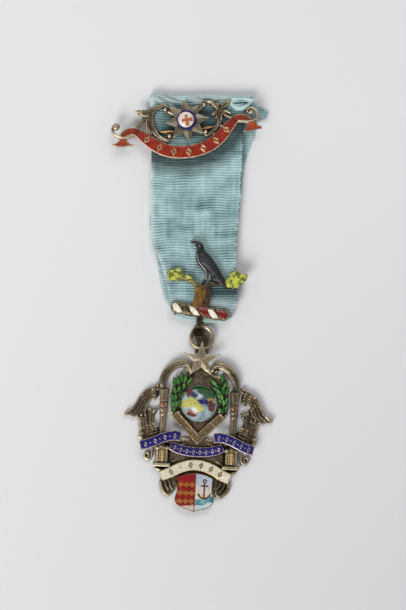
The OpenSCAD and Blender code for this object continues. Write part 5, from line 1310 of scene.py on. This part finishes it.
add_relief("stump_bark", ["stump"], "amber_enamel", on_crest,
           [plate(STUMP, 0.5, 0.8, 0.4, lambda x, y, d: 0.35 * noise(x / 0.7, y / 1.5, 15)),
            tube(smooth(BRANCH_RIGHT), 0.2, lambda a, run: 0.1 * noise(run, a, 44))],
           BARK, stump_tint, step=FINE)


def lumps(x, y):
    return noise(x / 0.7, y / 0.7, 17), noise(x / 0.35, y / 0.35, 19)


def lime_tint(x, y, depth, z):
    """Mottled lime, with dark outlines and a brown twig."""
    edge, (lump, fine) = np.clip(1 - depth / 0.16, 0, 1), lumps(x, y)
    colour = blend(srgb(96, 104, 14), srgb(196, 202, 66), np.clip(lump * 2 - 0.5, 0, 1))
    colour = blend(colour, srgb(214, 222, 120), np.clip(fine * 3 - 2.1, 0, 1))
    across, run, length, half = along(BRANCH_LEFT, x, y)
    twig = np.clip((half + 0.1 - np.abs(across)) / 0.2, 0, 1) * (x > -9) * (lump > 0.3)
    colour = blend(colour, srgb(120, 62, 12), twig * 0.8)
    return toned(blend(colour, srgb(44, 42, 20), edge), 0.2 * edge)


def tufted(x, y, depth):
    lump, fine = lumps(x, y)
    return 0.45 * lump + 0.2 * fine


for name, polygons, twigs in (("left", LEAVES_LEFT, [BRANCH_LEFT]), ("right", LEAVES_RIGHT, [])):
    shapes = [plate(points, 0.4, 0.5, 0.3, tufted, inset=-0.28) for points in polygons]
    shapes += [tube(smooth(path), 0.3) for path in twigs]
    add_relief(f"leaves_{name}", [f"tuft_{name}"], "lime_enamel", on_crest, shapes, LEAF_ENAMEL, lime_tint,
               step=FINE)

# Nodes that keep their CAD mesh
ORANGE, ORANGE_DEEP = srgb(200, 112, 40), srgb(150, 74, 26)
for name, material in (("roundel_ring", enamel("blue_enamel_gloss", BLUE, BLUE_DEEP)),
                       ("roundel_cross", enamel("orange_enamel_gloss", ORANGE, ORANGE_DEEP)),
                       ("brooch_pin", BARE_SILVER), ("jump_ring", BARE_SILVER)):
    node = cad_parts[name]
    node.data.materials.clear()
    node.data.materials.append(material)

# Ribbon: share of the drop, layer (1 front, 0 back), sag, left and right as shares of the half width
RIBBON_ROWS = [[0.01, 1, 0, -0.4, 0.84], [0.045, 1, 0, -0.47, 0.94], [0.09, 1, 0, -0.54, 1.02],
    [0.14, 1, 0, -0.59, 0.99], [0.18, 1, 0, -0.64, 0.97], [0.27, 1, 0.2, -0.78, 0.96],
    [0.36, 1, 0.7, -0.95, 0.98], [0.45, 1, 0.9, -0.98, 1.02], [0.54, 1, 0.9, -0.98, 1.07],
    [0.63, 1, 0.7, -0.97, 1.08], [0.72, 1, 0.3, -0.96, 1.11], [0.81, 1, 0, -0.95, 1.12],
    [0.9, 1, 0, -0.96, 1.12], [0.96, 1, 0, -1.0, 1.18], [0.985, 1, 0, -1.0, 1.28],
    [0.985, 0, 0, -1.0, 1.36], [0.96, 0, 0, -0.98, 1.45], [0.92, 0, 0, -0.94, 1.7],
    [0.88, 0, 0, -0.9, 1.45], [0.81, 0, 0, -0.86, 1.36], [0.76, 0, 0, -0.86, 1.27],
    [0.7, 0, 0, -0.88, 1.18], [0.63, 0, 0, -0.91, 1.13], [0.54, 0, 0, -0.96, 1.05],
    [0.45, 0, 0, -1.0, 0.96], [0.36, 0, 0, -0.94, 0.93], [0.27, 0, 0, -0.83, 0.92],
    [0.18, 0, 0, -0.76, 0.92], [0.09, 0, 0, -0.65, 0.92], [0.045, 0, 0, -0.54, 0.88],
    [0.01, 0, 0, -0.47, 0.86]]
SILK_T, RIB_PITCH, RIB_ROWS, RIB_H = 0.42, 0.86, 5, 0.3
SILK_COLUMNS = 42
ribbon_x, ribbon_y = 0.44, (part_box("ribbon")[0] / MM).y
FRONT_Z, BACK_Z = 3.0, 0.45
SILK_LIGHT, SILK_DARK, SILK_PALE = srgb(190, 223, 225), srgb(108, 147, 151), srgb(216, 230, 228)


def ribbon():
    """The ribbon's middle line round its loop, the direction away from its inside, and the run along it."""
    rows = np.array(RIBBON_ROWS)
    y = ribbon_y + rows[:, 0] * RIBBON_DROP
    z = np.where(rows[:, 1] > 0, FRONT_Z - rows[:, 2], BACK_Z)
    line = np.column_stack([y, z, rows[:, 3] * RIBBON_HALF, rows[:, 4] * RIBBON_HALF, rows[:, 1]])
    top = int(np.argmax(rows[:, 1] == 0))
    # the folds at the top and the bottom are half turns
    middle, fold = (FRONT_Z + BACK_Z) / 2, (FRONT_Z - BACK_Z) / 2
    up, down = [], []
    for share, turn in zip(np.linspace(0, 1, 7), np.linspace(0, math.pi, 9)[1:-1]):
        out, lift = math.sin(turn), fold * math.cos(turn)
        upper = line[top - 1, 2:4] * (1 - share) + line[top, 2:4] * share
        up.append([line[top, 0] + 0.95 * fold * out, middle + lift, *upper, 1 - share])
        lower = line[-1, 2:4] * (1 - share) + line[0, 2:4] * share
        down.append([line[0, 0] - 0.9 * fold * out, middle - lift, *lower, share])
    line = np.vstack([smooth(line[:top], 6), up, smooth(line[top:], 6), down])
    run = np.concatenate([[0], np.cumsum(np.hypot(*np.diff(line[:, :2], axis=0).T))])
    count = int(round(run[-1] / RIB_PITCH)) * RIB_ROWS
    at = np.linspace(0, run[-1], count, endpoint=False)
    line = np.column_stack([np.interp(at, run, line[:, k]) for k in range(5)])
    ahead = np.roll(line, -1, axis=0)[:, :2] - np.roll(line, 1, axis=0)[:, :2]
    ahead /= np.linalg.norm(ahead, axis=1)[:, None]
    normal = np.column_stack([-ahead[:, 1], ahead[:, 0]])
    return line, normal, at


# paths along which the silk is painted darker, as the shade in creases
CREASES = [
    [[-10.6, 65.6, 1], [-7.9, 64.2, 1], [-5.5, 63.5, 1], [-3.6, 63.1, 1]],
    [[-9.2, 66.6, 1], [-6.3, 65.2, 1], [-3.9, 64.5, 1], [0.0, 63.9, 1]],
    [[-11.8, 64.4, 1], [-9.4, 62.6, 1], [-7.2, 61.9, 1]],
    [[2.0, 65.4, 1], [6.4, 64.4, 1], [10.0, 64.8, 1]]]


def silk_tint(x, y, s, edge, left_edge, rib, front):
    """Watered silk: cloudy bands along the ribs, painted shade between them, pale at the selvedges."""
    water = noise(x / 5 + 0.6 * noise(x / 3, s / 9, 21), s / 2.2, 22)
    fine = noise(x / 1.3, s / 0.9, 23)
    streak = noise((x + 1.2 * noise(x / 4, s / 6, 49)) / 0.8, s / 7, 48)
    share = np.clip(0.66 + 0.7 * (water - 0.5) + 0.3 * (fine - 0.5) + 0.5 * (streak - 0.5), 0, 1)
    colour = blend(SILK_DARK, SILK_LIGHT, share)
    # painted shade in the grooves between the ribs
    groove_shade = np.clip(1 - rib * 2.0, 0, 1) * (0.35 + 0.9 * noise(x / 3.5, s / 1.7, 45))
    # shade behind the brooch's star, at the front's bottom right corner and below the crest
    behind = np.clip(1.9 - 1.6 * np.hypot((x - 2.5) / 16, (y - 57.5) / 6.6), 0, 1) * front
    corner = bell((y - 3.4) / 2.9, 1) * np.clip((x - 4) / 2, 0, 1) * front
    perch = bell((y - 15) / 6, 1) * np.clip((x - 1) / 3, 0, 1) * front
    colour = blend(colour, srgb(16, 54, 60), np.clip(0.92 * behind + 0.88 * corner, 0, 0.93))
    dark = (0.6 + 0.34 * (behind + corner) + 0.12 * perch) * groove_shade
    colour = blend(colour, srgb(18, 48, 54), np.clip(dark, 0, 0.95))
    seam = (edge < left_edge) * front * np.clip(1 - edge / 0.45, 0, 1) * (noise(x, s / 0.6, 51) > 0.45)
    colour = blend(colour, srgb(34, 62, 68), 0.75 * seam)
    # pale selvedges, partly wear and partly painted highlight; painted highlight on the left edge and the top
    # fold; paler at the bottom
    worn = np.clip(1 - edge / 0.9, 0, 1) * np.clip(fine * 1.6 - 0.3, 0, 1) * 0.7 * (1 - seam)
    left = np.clip(1.6 - left_edge, 0, 1) * np.clip((y - 4) / 8, 0, 1) * 0.55
    lower = np.clip((3.0 - y) / 3, 0, 1) * 0.3
    upper = np.clip((y - 62.6) / 2, 0, 1) * 0.6
    colour = blend(colour, SILK_PALE, np.clip(worn + left * front + lower + upper, 0, 0.8))
    # painted shade along the creases
    for path in CREASES:
        line = np.clip(1.3 - np.abs(along(path, x, y)[0]) / 0.3, 0, 1) * front
        colour = blend(colour, srgb(40, 80, 86), 0.7 * line)
    # the scroll's painted shadow on the silk just below it
    at = brooch.own(np.column_stack([x, y, np.zeros(len(x))]))
    below = -along(scroll_path, at[:, 0], at[:, 1])[0]
    under = np.clip(1.5 - (below - 2.0) / 4.4, 0, 1) * (below > 0) * front
    under = under * (0.75 + 0.35 * noise(x / 4, y / 1.2, 46))
    return toned(blend(colour, srgb(16, 38, 40), np.clip(under, 0, 0.9)))


def build_ribbon():
    """The folded loop as one closed mesh, with its ribs outside."""
    line, normal, at = ribbon()
    count = len(line)
    # the columns stand closer at the selvedges
    crowded = (1 - np.cos(np.linspace(0, math.pi, SILK_COLUMNS))) / 2
    share = crowded * 0.35 + np.linspace(0, 1, SILK_COLUMNS) * 0.65
    phase = np.arange(count) % RIB_ROWS / RIB_ROWS
    s, u = np.meshgrid(at, share, indexing="ij")
    left, right = line[:, 2][:, None], line[:, 3][:, None]
    x = ribbon_x + left + (right - left) * u
    x = x + 0.22 * (noise(s / 0.7, u * 2, 31) - 0.5) * ((u < 0.01) | (u > 0.99))
    wave = 0.7 * (noise(x / 6, s / 12, 24) - 0.5) + 0.35 * (noise(x / 2.2, s / 5, 25) - 0.5)
    slack = 0.22 * (noise(x / 9, s / 11, 26) - 0.5)
    crown = np.repeat((0.5 - 0.5 * np.cos(2 * math.pi * phase))[:, None], SILK_COLUMNS, axis=1)
    rib = RIB_H * crown ** 0.8 * (0.6 + 0.7 * noise(x / 4, s / 3, 27))
    flat = np.abs(normal[:, 1])[:, None]
    middle_y, middle_z, layer = (line[:, k][:, None] for k in (0, 1, 4))
    normal_y, normal_z = normal[:, 0][:, None], normal[:, 1][:, None]
    # the bottom fold hangs lowest below the ring
    droop = 0.017 * (x - 4.5) ** 2 * np.clip(1 - (middle_y - ribbon_y) / 7, 0, 1)
    bend = middle_y + droop + wave * flat
    y, z = bend + normal_y * (rib + slack), middle_z + normal_z * (rib + slack)
    inner_y, inner_z = bend - normal_y * (SILK_T - slack), middle_z - normal_z * (SILK_T - slack)
    edge = np.minimum(u, 1 - u) * (right - left)
    front = np.repeat(layer, SILK_COLUMNS, axis=1)
    colour = silk_tint(*(grid.ravel() for grid in (x, y, s, edge, u * (right - left), crown, front)))
    outer = np.stack([x, y, z], axis=2).reshape(-1, 3)
    inner = np.stack([x, inner_y, inner_z], axis=2).reshape(-1, 3)
    n = count * SILK_COLUMNS
    ids = np.arange(n).reshape(count, SILK_COLUMNS)
    nxt = np.roll(ids, -1, axis=0)
    top = np.stack([ids[:, :-1], ids[:, 1:], nxt[:, 1:], nxt[:, :-1]], axis=2).reshape(-1, 4)
    bottom = top[:, ::-1] + n
    rims = np.concatenate([np.stack([ids[:, 0], nxt[:, 0], nxt[:, 0] + n, ids[:, 0] + n], axis=1),
                           np.stack([nxt[:, -1], ids[:, -1], ids[:, -1] + n, nxt[:, -1] + n], axis=1)])
    faces = np.concatenate([top, bottom, rims]).tolist()
    points = np.concatenate([outer, inner]) * MM
    return add_mesh("watered_ribbon", points, faces, SILK, np.concatenate([colour, colour]), angle=80)


ribbon_piece = place_piece(build_ribbon(), ["ribbon"])

# the rolled corner at the ribbon's top right: a pale lip over a hollow darkened with painted shade
CURL_LIP = [[11.8, 64.6, 0.35], [12.42, 63.8, 0.55], [13.7, 62.6, 0.75], [15.3, 62.1, 0.85],
    [16.9, 62.8, 0.75], [18.3, 64.0, 0.5], [19.0, 64.6, 0.3]]
CURL_TOP = [[12.2, 65.2, 0.45], [14.5, 65.1, 0.5], [17.0, 65.1, 0.5], [19.4, 64.8, 0.4]]
CURL_BASE = 2.75
CURL_FIELD = [[11.8, 65.2], [12.6, 63.4], [15.3, 61.8], [18.0, 63.2], [19.4, 64.8], [17.0, 65.4],
    [14.0, 65.5]]


def curl_tint(x, y, depth, z):
    # painted shade inside the curl
    hollow = np.clip(1 - np.hypot((x - 15.5) / 3.0, (y - 63.9) / 1.05), 0, 1)
    colour = blend(SILK_LIGHT, SILK_PALE, 0.3 * noise(x / 1.5, y / 1.5, 47))
    return toned(blend(colour, srgb(24, 58, 62), np.clip(hollow * 2.6, 0, 1)))


curl_shapes = [plate(CURL_FIELD, 0.4)] + [tube(smooth(path), 0.3, tall=0.65) for path in (CURL_LIP, CURL_TOP)]
curl_piece = add_relief("ribbon_curl", [], "ribbon_silk", Place(0, 0, CURL_BASE, 0), curl_shapes, SILK,
                        curl_tint, step=0.14)

# Floor, light and camera
VIEW_X, VIEW_Y = 3.456, -0.48
VIEW_H = 195.2
CAMERA_D = 0.6
FLOOR_HALF = 1.6
floor_mesh = bpy.data.meshes.new("floor")
floor_corners = [(x * FLOOR_HALF, y * FLOOR_HALF, 0) for x, y in ((-1, -1), (1, -1), (1, 1), (-1, 1))]
floor_mesh.from_pydata(floor_corners, [], [(0, 1, 2, 3)])
floor = bpy.data.objects.new("floor", floor_mesh)
bpy.context.scene.collection.objects.link(floor)
paper = Shader("pale_paper")
grain = paper.cloud(2.0, 3)
ends = paper.add("ShaderNodeSeparateXYZ", {0: paper.place}).outputs
# painted light falloff: the paper darker towards the right and towards the bottom
across = paper.spread(ends[0], -0.07, 0.075)
above = paper.spread(ends[1], -0.095, 0.06)
tone = paper.mix(across, paper.mix(above, srgb(221, 221, 222), srgb(231, 231, 232)),
                 paper.mix(above, srgb(208, 208, 211), srgb(227, 227, 230)))
paper_tone = paper.mix(grain, tone, paper.mix(0.03, tone, (1, 1, 1)))
floor_mesh.materials.append(paper.surface({"Base Color": paper_tone, "Roughness": 0.9,
                                           "Specular IOR Level": 0.1}))


def area_light(name, at, size, power, colour):
    data = bpy.data.lights.new(name, "AREA")
    data.shape, data.size, data.energy, data.color = "DISK", size, power, colour
    light = bpy.data.objects.new(name, data)
    light.location = at
    light.rotation_euler = (-Vector(at)).to_track_quat("-Z", "Y").to_euler()
    bpy.context.scene.collection.objects.link(light)


area_light("window", (-0.62, -1.0, 1.05), 0.9, 18.0, (1.0, 0.995, 0.985))
area_light("fill", (0.3, 1.2, 1.5), 1.0, 9.0, (0.97, 0.98, 1.0))

# a soft room: brighter towards the horizon, so that raised edges catch it
HORIZON, ZENITH = 0.6, 0.24
world = bpy.data.worlds.new("studio")
bpy.context.scene.world = world
world.use_nodes = True
nodes, links = world.node_tree.nodes, world.node_tree.links
nodes.clear()
coords = nodes.new("ShaderNodeTexCoord")
split = nodes.new("ShaderNodeSeparateXYZ")
links.new(coords.outputs["Generated"], split.inputs[0])
ramp = nodes.new("ShaderNodeMapRange")
links.new(split.outputs["Z"], ramp.inputs["Value"])
for key, value in (("From Min", 0.15), ("From Max", 1.0), ("To Min", HORIZON), ("To Max", ZENITH)):
    ramp.inputs[key].default_value = value
back = nodes.new("ShaderNodeBackground")
links.new(ramp.outputs[0], back.inputs["Strength"])
back.inputs["Color"].default_value = (1, 1, 1, 1)
links.new(back.outputs[0], nodes.new("ShaderNodeOutputWorld").inputs["Surface"])

camera_data = bpy.data.cameras.new("camera")
camera_data.sensor_fit, camera_data.sensor_width = "AUTO", 36
camera_data.lens = 36 * CAMERA_D / (VIEW_H * MM)
camera_data.dof.use_dof = False
camera_data.clip_start, camera_data.clip_end = 0.01, 10
camera = bpy.data.objects.new("camera", camera_data)
camera.location = (VIEW_X * MM, VIEW_Y * MM, CAMERA_D)
bpy.context.scene.collection.objects.link(camera)
bpy.context.scene.camera = camera
bpy.context.scene.view_settings.view_transform = "Standard"
